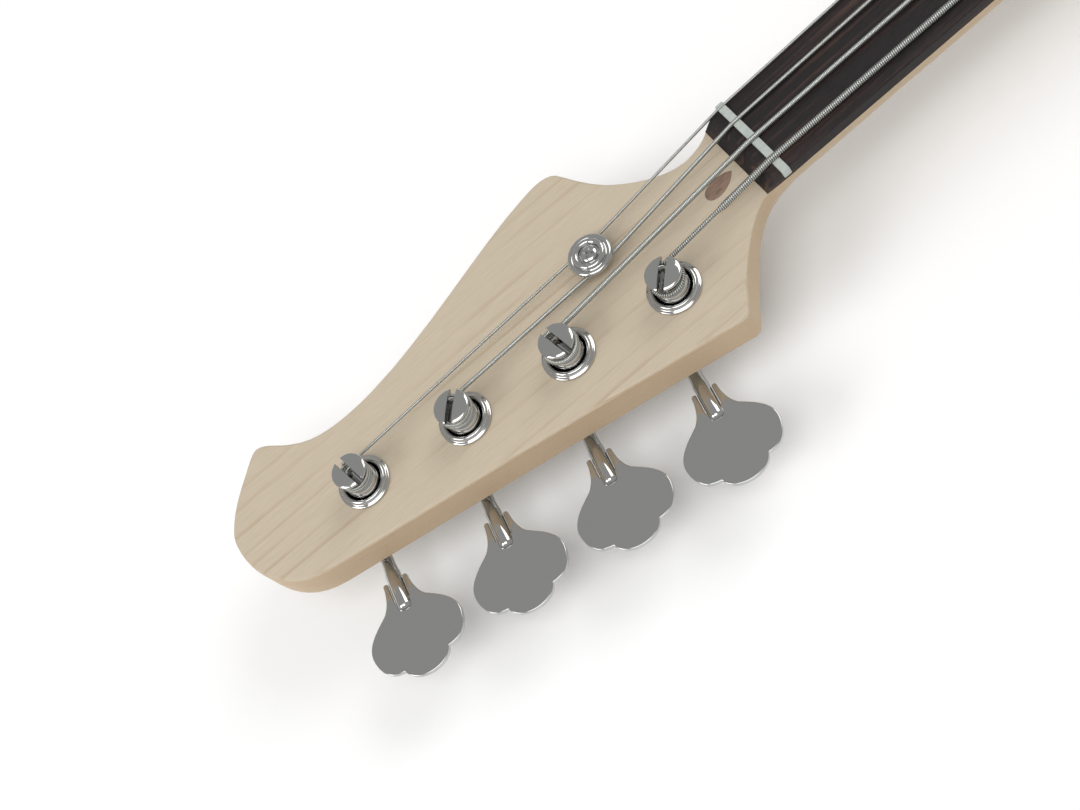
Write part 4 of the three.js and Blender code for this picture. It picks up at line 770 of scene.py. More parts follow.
class BASS_OT_strings(bpy.types.Operator):
    """Make the four wound strings, from the ball ends to the turns round the posts"""
    bl_idname = "bass.strings"
    bl_label = "Strings"

    # From E to G in millimetres: diameters along the neck and at the posts, places across the nut,
    # heights in the nut above the glue plane
    diameters = (2.67, 2.16, 1.65, 1.14)
    post_diameters = (1.7, 2.16, 1.65, 1.14)
    nut_places = (13.9, 1.7, -9.5, -19.0)
    nut_lifts = (7.45, 7.5, 7.1, 6.45)
    # How far each saddle stands back from the saddle line
    setbacks = (6.0, 4.0, 2.5, 1.5)
    # Turns round the post
    turns = (1.2, 1.1, 1.6, 2.0)
    # Pitch of the wrap in millimetres, coarser than the real 0.25 to 0.5 so that it shows, and how much
    # of the wire's colour the painted shade in its grooves keeps
    pitches = (0.85, 0.62, 0.52, 0.42)
    painted_groove_shades = (0.2, 0.5, 0.5, 0.5)

    def execute(self, context):
        for i in range(len(STRINGS)):
            self.one_string(i)
        return {"FINISHED"}

    def one_string(self, i):
        neck, _, tuners = sizes()
        radius, thin = self.diameters[i] * MM / 2, self.post_diameters[i] * MM / 2
        gap, rear, ball = 0.3 * MM, -36 * MM, 2.4 * MM
        wall_z = ball_z()
        bridge_y = string_y(i)
        route = []

        def add(x, y, z, r):
            route.append((Vector((x, y, z)), r))

        # Ball end with its rounded rims
        tail = rear - gap
        for back, share in ((1.6, 0.45), (1.58, 0.7), (1.5, 0.88), (1.38, 0.98), (1.25, 1), (0.3, 1), (0.15, 0.95)):
            add(tail - ball * back, bridge_y, wall_z, ball * share)
        add(tail, bridge_y, wall_z, radius)
        add(rear + 4 * MM, bridge_y, wall_z, radius)
        crest = neck.glue_z + self.nut_lifts[i] * MM + 3.4 * MM
        saddle = -self.setbacks[i] * MM
        # Bent over the saddle with a short curve
        low = Vector((rear + 4 * MM, wall_z))
        bend = Vector((saddle - 3 * MM - 2 * radius, crest))
        for k in range(1, 6):
            t = k / 5
            add(low[0] + (bend[0] - low[0]) * t, bridge_y, low[1] + (bend[1] - low[1]) * eased(t), radius)
        add(saddle + 7.5 * MM, bridge_y, crest, radius)
        nut_y, nut_z = self.nut_places[i] * MM, neck.glue_z + self.nut_lifts[i] * MM
        for k in range(1, 24):
            t = k / 24
            add(t * neck.nut_x, bridge_y + (nut_y - bridge_y) * t, crest + (nut_z - crest) * t, radius)
        add(neck.nut_x - gap, nut_y, nut_z, radius)
        add(neck.nut_x + neck.nut_thick, nut_y, nut_z, radius)
        post = tuner_frame(i).translation
        wind = tuners.waist + gap + thin
        foot = neck.glue_z + 6 * MM + thin + gap
        tree = tree_place()
        if i >= 2:
            # The D and G strings pass under the retainer, one on each side of its foot
            share, slope = ((0.53, 0.07), (-0.6, 0.05))[i - 2]
            held, slope = tree.y + share * 9 * MM, slope * 9 * MM
            low_z = neck.glue_z + 5.4 * MM - gap - radius
            add(tree.x - 6.3 * MM, held, low_z, radius)
            add(tree.x + 6.3 * MM, held + slope, low_z, radius)
        elif thin < radius:
            # The E string's outer wrap ends on the way to its post
            share = 27 / 60.1
            y, z = nut_y + (post.y - wind - nut_y) * share, nut_z + (foot - nut_z) * share
            for reach, r in ((27, radius), (27.5, radius * 0.93), (29.5, thin * 1.05), (30, thin)):
                add(neck.nut_x + reach * MM, y, z, r)
        last = route[-1][0]
        away = post.xy - last.xy
        heading = math.atan2(away.y, away.x) - math.asin(wind / away.length)
        start = heading - math.pi / 2
        steps = round(56 * self.turns[i])
        for k in range(steps + 1):
            turn = 2 * math.pi * self.turns[i] * k / steps
            add(post.x + wind * math.cos(start + turn), post.y + wind * math.sin(start + turn),
                foot + (2 * thin + 0.46 * MM) * turn / (2 * math.pi), thin)
        onward = route[-1][0] + (route[-1][0] - route[-2][0]).normalized() * 2 * thin
        add(onward.x, onward.y, onward.z, thin)
        points = [p for p, _ in route]
        piece = tube(f"wound_string_{STRINGS[i]}", points, [r for _, r in route])
        material = wound_steel(f"wound_steel_{STRINGS[i]}", self.pitches[i] * MM, self.painted_groove_shades[i])
        seat(piece, "steel", f"string_{STRINGS[i]}", angle=60, material=material)


# Neck


class BASS_OT_neck(bpy.types.Operator):
    """Make the neck with its headstock, the walnut stripe and the plug"""
    bl_idname = "bass.neck"
    bl_label = "Neck"

    # Handles and ends of the outline's curves, as shares of the head's length and of its bass shoulder
    head_shares = (
        (0.068, 0.362, 0.11, 0.5, 0.157, 0.765), (0.168, 0.84, 0.176, 0.9, 0.182, 0.935),
        (0.186, 0.965, 0.196, 0.968, 0.207, 0.953), (0.42, 0.73, 0.7, 0.47, 0.9, 0.281),
        (0.955, 0.225, 0.978, 0.08, 0.992, -0.07), (1.004, -0.21, 1.006, -0.42, 0.992, -0.5),
        (0.975, -0.63, 0.95, -0.72, 0.93, -0.79), (0.912, -0.855, 0.898, -0.915, 0.888, -0.905),
        (0.872, -0.89, 0.86, -0.8, 0.84, -0.735), (0.805, -0.605, 0.755, -0.585, 0.69, -0.61),
        (0.57, -0.66, 0.42, -0.925, 0.325, -0.985), (0.305, -1, 0.27, -1.03, 0.256, -0.95),
        (0.245, -0.87, 0.237, -0.755, 0.21, -0.6), (0.185, -0.473, 0.139, -0.305, 0.1, -0.289),
        (0.078, -0.289, 0.058, -0.316, 0.047, -0.354),
    )
    # Past the nut the round neck turns into the square head: place, depth, squareness
    throat = ((4, 15.1, 2.4), (8, 15.2, 2.9), (11.8, 15.3, 4.0), (14.5, 15.4, 4.7), (17.5, 15.5, 5.1),
              (21, 15.65, 5.5), (25, 15.75, 6.3), (29, 15.83, 9), (33, 15.87, 16), (36, 15.9, 32), (38, 15.9, 60))

    def head_outline(self):
        neck, _, _ = sizes()
        return [Vector((neck.nut_x + p.x * neck.head_length, p.y * neck.head_horn))
                for p in curve_points((0.047, 0.357), self.head_shares, 8)]

    def half_widths(self, x):
        """Reach of the wood to the bass and to the treble side."""
        neck, _, _ = sizes()
        if x <= neck.nut_x:
            return half_neck(x), half_neck(x)
        outline = self.head_outline()
        reaches = []
        for edge in (outline[:9], outline[:-18:-1]):
            edge = [Vector((neck.nut_x, neck.nut_width / 2))] + edge
            for before, after in zip(edge, edge[1:]):
                if before.x <= x <= after.x:
                    share = (x - before.x) / (after.x - before.x)
                    reaches.append(abs(before.y) + (abs(after.y) - abs(before.y)) * share)
                    break
        return reaches

    def shaft_rings(self, grow):
        neck, _, _ = sizes()
        heel_end = neck.heel_x + neck.heel_length
        places = [(neck.heel_x, neck.heel_thick, 16), (heel_end - 2 * MM, neck.heel_thick, 16)]
        for k in range(1, 9):
            ease = eased(k / 8)
            places.append((heel_end + 30 * MM * k / 8, neck.heel_thick + (17.2 * MM - neck.heel_thick) * ease,
                           16 * (2.3 / 16) ** ease))
        places += [(600 * MM, 16.1 * MM, 2.3), (neck.nut_x - 40 * MM, 15.1 * MM, 2.05), (neck.nut_x, 15.1 * MM, 2.05)]
        places += [(neck.nut_x + x * MM, depth * MM, square) for x, depth, square in self.throat]
        rings = [self.section(x, depth, square, grow) for x, depth, square in places]
        # The last ring lies just inside the head
        x, depth, square = places[-1]
        rings.append(self.section(x + 0.6 * MM, depth, square, -0.4 * MM))
        return rings

    def section(self, x, depth, square, grow):
        neck, _, _ = sizes()
        bass, treble = (half + grow for half in self.half_widths(x))
        beyond = (x - neck.nut_x) / (38 * MM)
        broken = 0.15 * MM + (neck.head_edge - 0.15 * MM) * max(0, min(1, beyond)) ** 2
        top = neck.glue_z + min(grow, 0)
        turns = [math.pi / 2 * k / 3 for k in range(4)]
        corner = [(broken * (1 - math.cos(turn)), top - broken * (1 - math.sin(turn))) for turn in turns]
        ring = [Vector((x, bass - inwards, z)) for inwards, z in corner[::-1]]
        for k in range(1, 40):
            turn = math.pi * k / 40
            c, s = math.cos(turn), math.sin(turn)
            y = (bass if c > 0 else treble) * math.copysign(abs(c) ** (2 / square), c)
            drop = broken + (depth + grow - broken) * abs(s) ** (2 / square)
            ring.append(Vector((x, y, neck.glue_z - drop)))
        return ring + [Vector((x, -treble + inwards, z)) for inwards, z in corner]

    def plug_outline(self, grow):
        neck, _, _ = sizes()
        long, half = 14 * MM, 3.5 * MM + grow
        start = (-grow, 0)
        shares = ((long * 0.15, half * 0.7, long * 0.4, half, long * 0.62, half),
                  (long * 0.85, half, long + grow, half * 0.6, long + grow, 0),
                  (long + grow, -half * 0.6, long * 0.85, -half, long * 0.62, -half),
                  (long * 0.4, -half, long * 0.15, -half * 0.7, -grow, 0))
        turn = Matrix.Rotation(math.radians(10.7), 2)
        place = Vector((neck.nut_x + 15 * MM, 1.2 * MM))
        return [turn @ p + place for p in curve_points(start, shares, 8)]

    def execute(self, context):
        neck, _, _ = sizes()
        top, back = neck.glue_z, neck.glue_z - neck.head_thick
        head = slab("head", self.head_outline(), back, top, neck.head_edge, 4)
        room = block("throat_room", (neck.nut_x - 0.01, -0.1, 0), (neck.nut_x + 38 * MM, 0.1, 0.1))
        combine(head, "DIFFERENCE", room)
        wood = combine(lofted("neck_wood", self.shaft_rings(0)), "UNION", head)
        far = neck.nut_x - 11.7 * MM
        cuts = [block("stripe_room", (330 * MM, -3.03 * MM, 0), (far, 3.03 * MM, top - 3.5 * MM)),
                slab("plug_room", self.plug_outline(0.06 * MM), top - 6 * MM, top + 3 * MM)]
        for i in range(len(STRINGS)):
            axis = tuner_frame(i).translation
            cuts.append(rod("peg_hole", 8.95 * MM, axis - Vector((0, 0, MM)), axis + Vector((0, 0, 20 * MM)), 48))
        hole = tree_place()
        cuts.append(rod("tree_hole", 2 * MM, hole - Vector((0, 0, 12 * MM)), hole + Vector((0, 0, MM)), 24))
        combine(wood, "DIFFERENCE", *cuts)
        seat(wood, "maple", "neck")
        finish_modifier(wood, "WEIGHTED_NORMAL", keep_sharp=True)
        # How far each face looks sideways, for the sides' browner grain and their painted shade
        side = wood.data.attributes.new("side", "FLOAT", "FACE")
        for face in wood.data.polygons:
            side.data[face.index].value = 1 - abs(face.normal.z)
        stripe = block("walnut_stripe", (330.05 * MM, -3 * MM, 0), (far - 0.05 * MM, 3 * MM, top - 10.5 * MM))
        combine(stripe, "INTERSECT", lofted("skin", self.shaft_rings(0.02 * MM)))
        seat(stripe, "walnut", "skunk_stripe")
        plug = slab("walnut_plug", self.plug_outline(0), top - 5.7 * MM, top - 0.03 * MM, 0.15 * MM, 2)
        seat(plug, "walnut", "head_plug")
        return {"FINISHED"}


class BASS_OT_board(bpy.types.Operator):
    """Make the unlined fingerboard with its side dots, and the nut"""
    bl_idname = "bass.board"
    bl_label = "Fingerboard"

    def ring(self, x, share):
        neck, _, _ = sizes()
        half, low, corner = half_neck(x) - max(0, x - neck.nut_x) * 0.053, neck.glue_z + 0.03 * MM, 0.5 * MM
        ring = [Vector((x, -half, low))]
        steps = 20
        for k in range(steps + 1):
            y = (half - corner * share) * (2 * k / steps - 1)
            ring.append(Vector((x, y, low + (board_top(y) - low) * share)))
            if k == 0 or k == steps:
                side = Vector((x, math.copysign(half, y), low + (board_top(half) - corner - low) * share))
                ring.insert(len(ring) - 1 if k == 0 else len(ring), side)
        ring.append(Vector((x, half, low)))
        return ring

    def execute(self, context):
        neck, _, _ = sizes()
        rings = [self.ring(x, 1) for x in (neck.heel_x, 600 * MM)]
        # The nose slopes down past the nut: place and share of the board's thickness
        rings += [self.ring(neck.nut_x + x * MM, share)
                  for x, share in ((6.1, 1.0), (6.6, 0.96), (11.3, 0.12), (11.7, 0.03))]
        board = lofted("rosewood_board", rings)
        slot = block("nut_slot", (neck.nut_x - 0.05 * MM, -0.05, neck.glue_z + 2.5 * MM),
                     (neck.nut_x + neck.nut_thick + 0.05 * MM, 0.05, 0.1))
        combine(board, "DIFFERENCE", slot)
        seat(board, "rosewood", "fingerboard")
        dots = []
        for step in (3, 5, 7, 9, 12, 12.35, 15, 17, 19, 21):
            x = neck.nut_x * 2 ** (-step / 12)
            if x < neck.heel_x:
                continue
            side = Vector((x, half_neck(x), neck.glue_z + neck.board_thick * 0.45))
            dots.append(rod("dot", 1.25 * MM, side - Vector((0, MM, 0)), side + Vector((0, 0.04 * MM, 0)), 24))
        seat(joined("side_dots", *dots), "bone")
        self.make_nut()
        return {"FINISHED"}

    def make_nut(self):
        neck, _, _ = sizes()
        half, low, proud = neck.nut_width / 2 + 0.8 * MM, neck.glue_z + 2.52 * MM, 1.2 * MM
        steps, corner = 24, 0.6 * MM
        outline = [Vector((-half, low)), Vector((half, low)), Vector((half, board_top(half) + proud - corner))]
        for k in range(steps + 1):
            y = (half - corner * 0.7) * (1 - 2 * k / steps)
            outline.append(Vector((y, board_top(y) + proud)))
        outline.append(Vector((-half, board_top(half) + proud - corner)))
        bar = slab("bone_nut", outline, 0, neck.nut_thick, 0.35 * MM)
        put(bar, Matrix.Translation((neck.nut_x, 0, 0)) @ ACROSS)
        grooves = []
        strings = BASS_OT_strings
        for d, y, lift in zip(strings.diameters, strings.nut_places, strings.nut_lifts):
            place = Vector((neck.nut_x, y * MM, neck.glue_z + lift * MM))
            along = Vector((10 * MM, 0, 0))
            radius = d * MM / 2 + 0.04 * MM
            grooves.append(rod("groove", radius, place - along, place + along, 24))
            grooves.append(block("groove_mouth", place + Vector((-0.01, -radius * 0.96, 0)),
                                 place + Vector((0.01, radius * 0.96, 0.01))))
        combine(bar, "DIFFERENCE", *grooves)
        seat(bar, "bone", "nut")


# Tuning machines


class BASS_OT_tuners(bpy.types.Operator):
    """Make the four tuning machines: bushing, slotted post, key with its worm, and base plate"""
    bl_idname = "bass.tuners"
    bl_label = "Tuning machines"

    slot_turns = (57, 111, 58, 111)

    def shaft_place(self):
        """Key's shaft, seen from its post at the headstock's back."""
        return Vector((11 * MM, 0, -6.2 * MM))

    def make_bushing(self):
        _, _, tuners = sizes()
        rim = tuners.flange / MM
        rows = [(7.6, 6.9), (8.75, 6.9), (8.75, 15.95), (rim - 0.15, 15.95), (rim, 16.1), (rim, 16.7),
                (rim - 0.12, 17.0), (rim - 0.45, 17.2), (rim - 0.9, 17.3), (rim - 1.15, 17.45), (rim - 1.3, 17.75),
                (rim - 1.45, 18.1), (rim - 1.75, 18.4), (8.6, 18.52), (8.2, 18.42), (7.9, 18.1), (7.7, 17.6),
                (7.6, 17.0), (7.6, 6.9)]
        return turned("bushing", rows, 72)

    def make_post(self):
        neck, _, tuners = sizes()
        top = neck.head_thick / MM
        head, waist = tuners.post_head / MM, tuners.waist / MM
        rows = [(0, -7.9), (3.2, -7.9), (3.2, -3.6), (4.1, -3.6), (4.1, 0.3), (6.9, 0.3), (6.9, top + 2.6),
                (6.75, top + 3.0), (6.55, top + 3.3), (6.5, top + 4.6), (6.3, top + 5.1), (5.8, top + 5.7),
                (waist + 0.15, top + 6.2), (waist, top + 6.7), (waist, top + 10.9), (waist + 0.25, top + 11.5),
                (waist + 0.8, top + 12.0), (head - 0.35, top + 12.3), (head - 0.05, top + 12.55), (head, top + 12.9),
                (head - 0.08, top + 13.2), (head - 0.35, top + 13.45), (head * 0.86, top + 13.68),
                (head * 0.7, top + 13.95), (head * 0.5, top + 14.18), (head * 0.25, top + 14.32), (0, top + 14.37)]
        post = turned("post", rows, 72)
        # The slot has a round floor
        half = tuners.slot / 2
        floor = (top + 6) * MM + half
        outline = arc((0, floor), half, math.pi, 2 * math.pi, 12) + [Vector((half, 0.05)), Vector((-half, 0.05))]
        slot = slab("slot", outline, -10 * MM, 10 * MM)
        put(slot, ACROSS)
        return combine(post, "DIFFERENCE", slot)

    # Handles and ends from an ear round a side lobe to the outer end, as shares of the key's
    # half width and of its length beyond the ears
    key_shares = (
        (0.283, 0.116, 0.333, 0.215, 0.47, 0.28), (0.636, 0.342, 0.99, 0.439, 1, 0.586),
        (1, 0.697, 0.879, 0.836, 0.657, 0.853), (0.606, 0.86, 0.545, 0.865, 0.496, 0.865),
        (0.439, 0.952, 0.232, 1, 0, 1),
    )

    def key_outline(self):
        _, _, tuners = sizes()
        half, ear = tuners.key_half, 30.68 * MM
        inner, outer = 3.45 * MM, 5.35 * MM
        start = (outer / half, 0.6 * MM / (tuners.key_end - ear))
        edge = [Vector((p.x * half, ear + p.y * (tuners.key_end - ear)))
                for p in curve_points(start, self.key_shares, 12)]
        rounded = [Vector((inner, ear + 9.1 * MM)), Vector((inner, ear + 0.5 * MM)), Vector((inner + 0.3 * MM, ear)),
                   Vector((outer - 0.5 * MM, ear))]
        right = rounded + edge
        return right + [Vector((-p.x, p.y)) for p in reversed(right[:-1])]

    def make_key(self):
        _, _, tuners = sizes()
        half = tuners.key_thick / 2
        blade = slab("blade", self.key_outline(), -half, half, 0.42 * MM, 4)
        rows = [(0, -11.4), (2.6, -11.4), (2.95, -11.1), (2.95, -10.2), (2.3, -10.1), (2.3, -5.65), (2.05, -5.65),
                (2.05, 5.65), (2.3, 5.65), (2.3, 10.0), (2.7, 10.0), (2.7, 24.5), (2.75, 24.9), (3.0, 27.6),
                (3.15, 28.2), (3.15, 42.4), (3.0, 43.2), (2.6, 43.9), (1.9, 44.35), (0.9, 44.5), (0, 44.5)]
        shaft = turned("shaft", rows, 40)
        put(shaft, Matrix.Rotation(-math.pi / 2, 4, "X"))
        combine(blade, "UNION", shaft)
        return joined("key", self.make_thread(), blade)

    def make_thread(self):
        """The worm's ridge: its section carried round and along by the Screw modifier."""
        # Axial pitch, core and tip radius, and half thickness at the pitch radius of 3 mm
        pitch, core, tip, half = 2.513, 1.9, 3.69, 0.51
        slope = math.tan(math.radians(20))
        section = [(core, -half - (3 - core) * slope), (tip, -half + (tip - 3) * slope),
                   (tip, half - (tip - 3) * slope), (core, half + (3 - core) * slope)]
        ridge = trace("ridge", [Vector((0, (along - 1.5 * pitch) * MM, r * MM)) for r, along in section], True)
        finish_modifier(ridge, "SCREW", axis="Y", angle=2 * math.pi, screw_offset=pitch * MM, iterations=3,
                        steps=24, render_steps=24, use_normal_calculate=True)
        bpy.ops.object.mode_set(mode="EDIT")
        bpy.ops.mesh.select_all(action="SELECT")
        bpy.ops.mesh.remove_doubles(threshold=0.002 * MM)
        bpy.ops.mesh.select_all(action="DESELECT")
        bpy.ops.mesh.select_non_manifold()
        bpy.ops.mesh.edge_face_add()
        return mend_normals(ridge)

    def make_plate(self):
        outline = rounded_rect(29 * MM, 43 * MM, 7.25 * MM, x=3.24 * MM)
        sheet = slab("sheet", outline, -1.9 * MM, -0.05 * MM, 0.35 * MM)
        combine(sheet, "DIFFERENCE", rod("post_hole", 4.45 * MM, (0, 0, -THROUGH_THIN), (0, 0, THROUGH_THIN), 40))
        parts = []
        bearing, reach = self.shaft_place(), Vector((0, 0.03, 0))
        for side in (-1, 1):
            middle = side * 8.2 * MM
            lug = block("lug", (7.5 * MM, middle - 1.5 * MM, -9.7 * MM), (14.5 * MM, middle + 1.5 * MM, -1.5 * MM))
            round_edges(lug, 0.8 * MM)
            parts.append(combine(lug, "DIFFERENCE", rod("bearing", 2.65 * MM, bearing - reach, bearing + reach)))
        places = [(x * MM, y * MM, -1.88 * MM) for x in (-7, 13.5) for y in (-17.2, 17.2)]
        parts += screws(3.1 * MM, 1.7 * MM, places, DOWN)
        return joined("plate", *parts, sheet)

    def execute(self, context):
        models = {"tuner_bushing": self.make_bushing(), "tuner_post": self.make_post(),
                  "tuning_key": self.make_key(), "tuner_plate": self.make_plate()}
        key_seat = Matrix.Translation(self.shaft_place())
        for i, tag in enumerate(STRINGS):
            seats = {"tuner_bushing": ("instrument", Matrix.Identity(4)),
                     "tuner_post": (f"post_{tag}", Matrix.Rotation(math.radians(self.slot_turns[i]), 4, "Z")),
                     "tuning_key": (f"key_{tag}", key_seat),
                     "tuner_plate": ("instrument", Matrix.Identity(4))}
            for node, (body, own) in seats.items():
                piece = copied(models[node], f"chrome_{node}_{tag}", tuner_frame(i) @ own)
                seat(piece, "chrome", f"{node}_{tag}", body=body)
        for model in models.values():
            bpy.data.objects.remove(model)
        return {"FINISHED"}


class BASS_OT_tree(bpy.types.Operator):
    """Make the round string retainer and its screw"""
    bl_idname = "bass.tree"
    bl_label = "String retainer"

    def execute(self, context):
        place = Matrix.Translation(tree_place())
        rows = [(1.9, 0.05), (3.3, 0.05), (3.3, 5.4), (8.2, 5.4), (8.7, 5.55), (8.95, 5.9), (9, 6.3), (8.85, 6.75),
                (8.45, 7.15), (7.9, 7.35), (7.3, 7.32), (6.95, 7.15), (6.75, 7.25), (6.6, 7.65), (6.4, 8.1),
                (6.0, 8.45), (5.4, 8.6), (4.9, 8.5), (4.5, 8.2), (4.2, 7.7), (4.05, 7.2), (3.0, 7.1), (1.9, 7.1),
                (1.9, 0.05)]
        seat(put(turned("chrome_string_retainer", rows, 72), place), "chrome", "string_tree")
        screw = cross_screw("retainer_screw", 3.55 * MM, 1.5 * MM)
        put(screw, place @ Matrix.Translation((0, 0, 7.15 * MM)))
        seat(screw, "chrome", "string_tree_screw")
        return {"FINISHED"}


# Body


class BASS_OT_body(bpy.types.Operator):
    """Make the body with its pockets and contours, the neck plate and the strap buttons"""
    bl_idname = "bass.body"
    bl_label = "Body"

    # Handles and ends of the outline's curves, as shares of the body's length and of half its width
    body_shares = (
        (0, 0.44, 0.05, 0.98, 0.16, 0.98), (0.26, 0.98, 0.34, 0.72, 0.46, 0.72),
        (0.57, 0.72, 0.64, 0.86, 0.75, 0.86), (0.86, 0.86, 1, 0.84, 1, 0.665),
        (1, 0.575, 0.955, 0.52, 0.9, 0.52), (0.82, 0.52, 0.8, 0.4, 0.8, 0.2),
        (0.8, 0.1, 0.8, -0.02, 0.79, -0.18), (0.775, -0.32, 0.71, -0.3, 0.71, -0.42),
        (0.71, -0.52, 0.76, -0.55, 0.82, -0.55), (0.88, -0.55, 0.92, -0.6, 0.92, -0.7),
        (0.92, -0.84, 0.81, -0.9, 0.7, -0.9), (0.6, -0.9, 0.52, -0.725, 0.41, -0.725),
        (0.3, -0.725, 0.25, -1, 0.14, -1), (0.04, -1, 0, -0.45, 0, 0),
    )

    def execute(self, context):
        neck, body, _ = sizes()
        top = body.thick
        wood = slab("ash_body", body_outline((0, 0), self.body_shares, 14), 0, top, body.edge, 7)
        # Forearm slope on the front, belly scoop on the back
        slope = block("slope", (-0.5, 0, 0), (0.5, 0.18, 0.05))
        tilt = Matrix.Rotation(math.radians(18), 4, "Z") @ Matrix.Rotation(-math.atan2(15, 62), 4, "X")
        put(slope, Matrix.Translation((-body.tail, body.width / 2 - 0.124, top)) @ tilt)
        scoop = rod("scoop", 0.17, (0, 0, -0.17), (0, 0.144, -0.17), 160)
        put(scoop, Matrix.Translation((0.125, 0.07, 0)) @ Matrix.Rotation(math.atan2(13, 48), 4, "X"))
        combine(wood, "DIFFERENCE", slope, scoop)
        self.soften(wood)
        pocket_back, mouth = neck.heel_x - 0.1 * MM, neck.heel_x + 0.13
        pocket = [Vector((x, side * (half_neck(x) + 0.1 * MM)))
                  for x, side in ((pocket_back, 1), (mouth, 1), (mouth, -1), (pocket_back, -1))]
        cuts = [slab("pocket", pocket, top - 16 * MM, top + 0.02)]
        room = rounded_rect(body.pickup_width + 0.7 * MM, body.pickup_length + 0.7 * MM, 6.35 * MM, x=body.pickup_x)
        cuts.append(slab("pickup_room", room, top - 20 * MM, top + 0.02))
        control = slab("control_room", rounded_rect(133 * MM, 25.5 * MM, 8.5 * MM), -32 * MM, 0.02)
        cuts.append(put(control, control_frame(top)))
        room = rounded_rect(52.4 * MM, 51.4 * MM, 6.2 * MM, x=NECK_PLATE_X)
        cuts.append(slab("plate_room", room, -THROUGH_THIN, 1.7 * MM))
        for x, y in ((-85, 0), (427, 109.1)):
            middle = Vector((x * MM, y * MM, 0.021))
            inwards = Vector((0.026 if x < 0 else -0.026, 0, 0))
            cuts.append(rod("screw_hole", 2 * MM, middle - inwards / 4, middle + inwards, 24))
        combine(wood, "DIFFERENCE", *cuts)
        seat(wood, "ash", "body", angle=24)
        finish_modifier(wood, "WEIGHTED_NORMAL", keep_sharp=True)
        self.make_neck_plate()
        self.make_buttons()
        return {"FINISHED"}

    def soften(self, wood):
        """Rounds the crease where the forearm slope meets the front."""
        select_only(wood)
        bpy.ops.object.mode_set(mode="EDIT")
        bpy.ops.mesh.select_all(action="DESELECT")
        shape = bmesh.from_edit_mesh(wood.data)
        for edge in shape.edges:
            if len(edge.link_faces) != 2:
                continue
            first, second = (f.normal for f in edge.link_faces)
            flat = max(first.z, second.z) > 0.9999
            tilted = 0.95 < min(first.z, second.z) < 0.98 and min(v.co.z for v in edge.verts) > 0.041
            if flat and tilted and edge.calc_length() > 0.02:
                edge.select_set(True)
        bmesh.update_edit_mesh(wood.data)
        bpy.ops.mesh.bevel(offset=0.012, segments=6, affect="EDGES", clamp_overlap=True)
        bpy.ops.object.mode_set(mode="OBJECT")

    def make_neck_plate(self):
        outline = rounded_rect(52 * MM, 51 * MM, 6 * MM, x=NECK_PLATE_X)
        sheet = slab("sheet", outline, 0.15 * MM, 1.65 * MM, 0.4 * MM)
        places = [Vector((NECK_PLATE_X + x * 17.1 * MM, y * 19.6 * MM, 1.15 * MM)) for x in (-1, 1) for y in (-1, 1)]
        parts = screws(4 * MM, 1.1 * MM, places, DOWN)
        combine(sheet, "DIFFERENCE", *[rod("well", 4.3 * MM, p - Vector((0, 0, 2.15 * MM)), p) for p in places])
        seat(joined("chrome_neck_plate", *parts, sheet), "chrome", "neck_plate")

    def make_buttons(self):
        _, body, _ = sizes()
        rows = [(0, 0.02), (5.3, 0.02), (5.2, 1.2), (4.4, 2.6), (3.9, 4), (3.75, 6), (3.8, 8.6), (4.3, 9.9),
                (5.4, 10.7), (7.0, 11.2), (7.45, 11.7), (7.5, 12.2), (7.2, 12.8), (6.3, 13.2), (4.5, 13.3),
                (3.4, 12.7), (0, 12.6)]
        button = turned("button", rows)
        screw = cross_screw("button_screw", 3.3 * MM, 1.3 * MM)
        whole = joined("whole_button", put(screw, Matrix.Translation((0, 0, 12.3 * MM))), button)
        for end, x, y, way in (("tail", -body.tail, 0, -1), ("horn", -body.tail + body.reach, 109.06 * MM, 1)):
            turn = Matrix.Translation((x, y, body.thick / 2)) @ Matrix.Rotation(way * math.pi / 2, 4, "Y")
            seat(copied(whole, f"chrome_strap_button_{end}", turn), "chrome", f"strap_button_{end}")
        bpy.data.objects.remove(whole)


def control_frame(height):
    return Matrix.Translation((29.995 * MM, -109.88 * MM, height)) @ Matrix.Rotation(math.radians(14), 4, "Z")


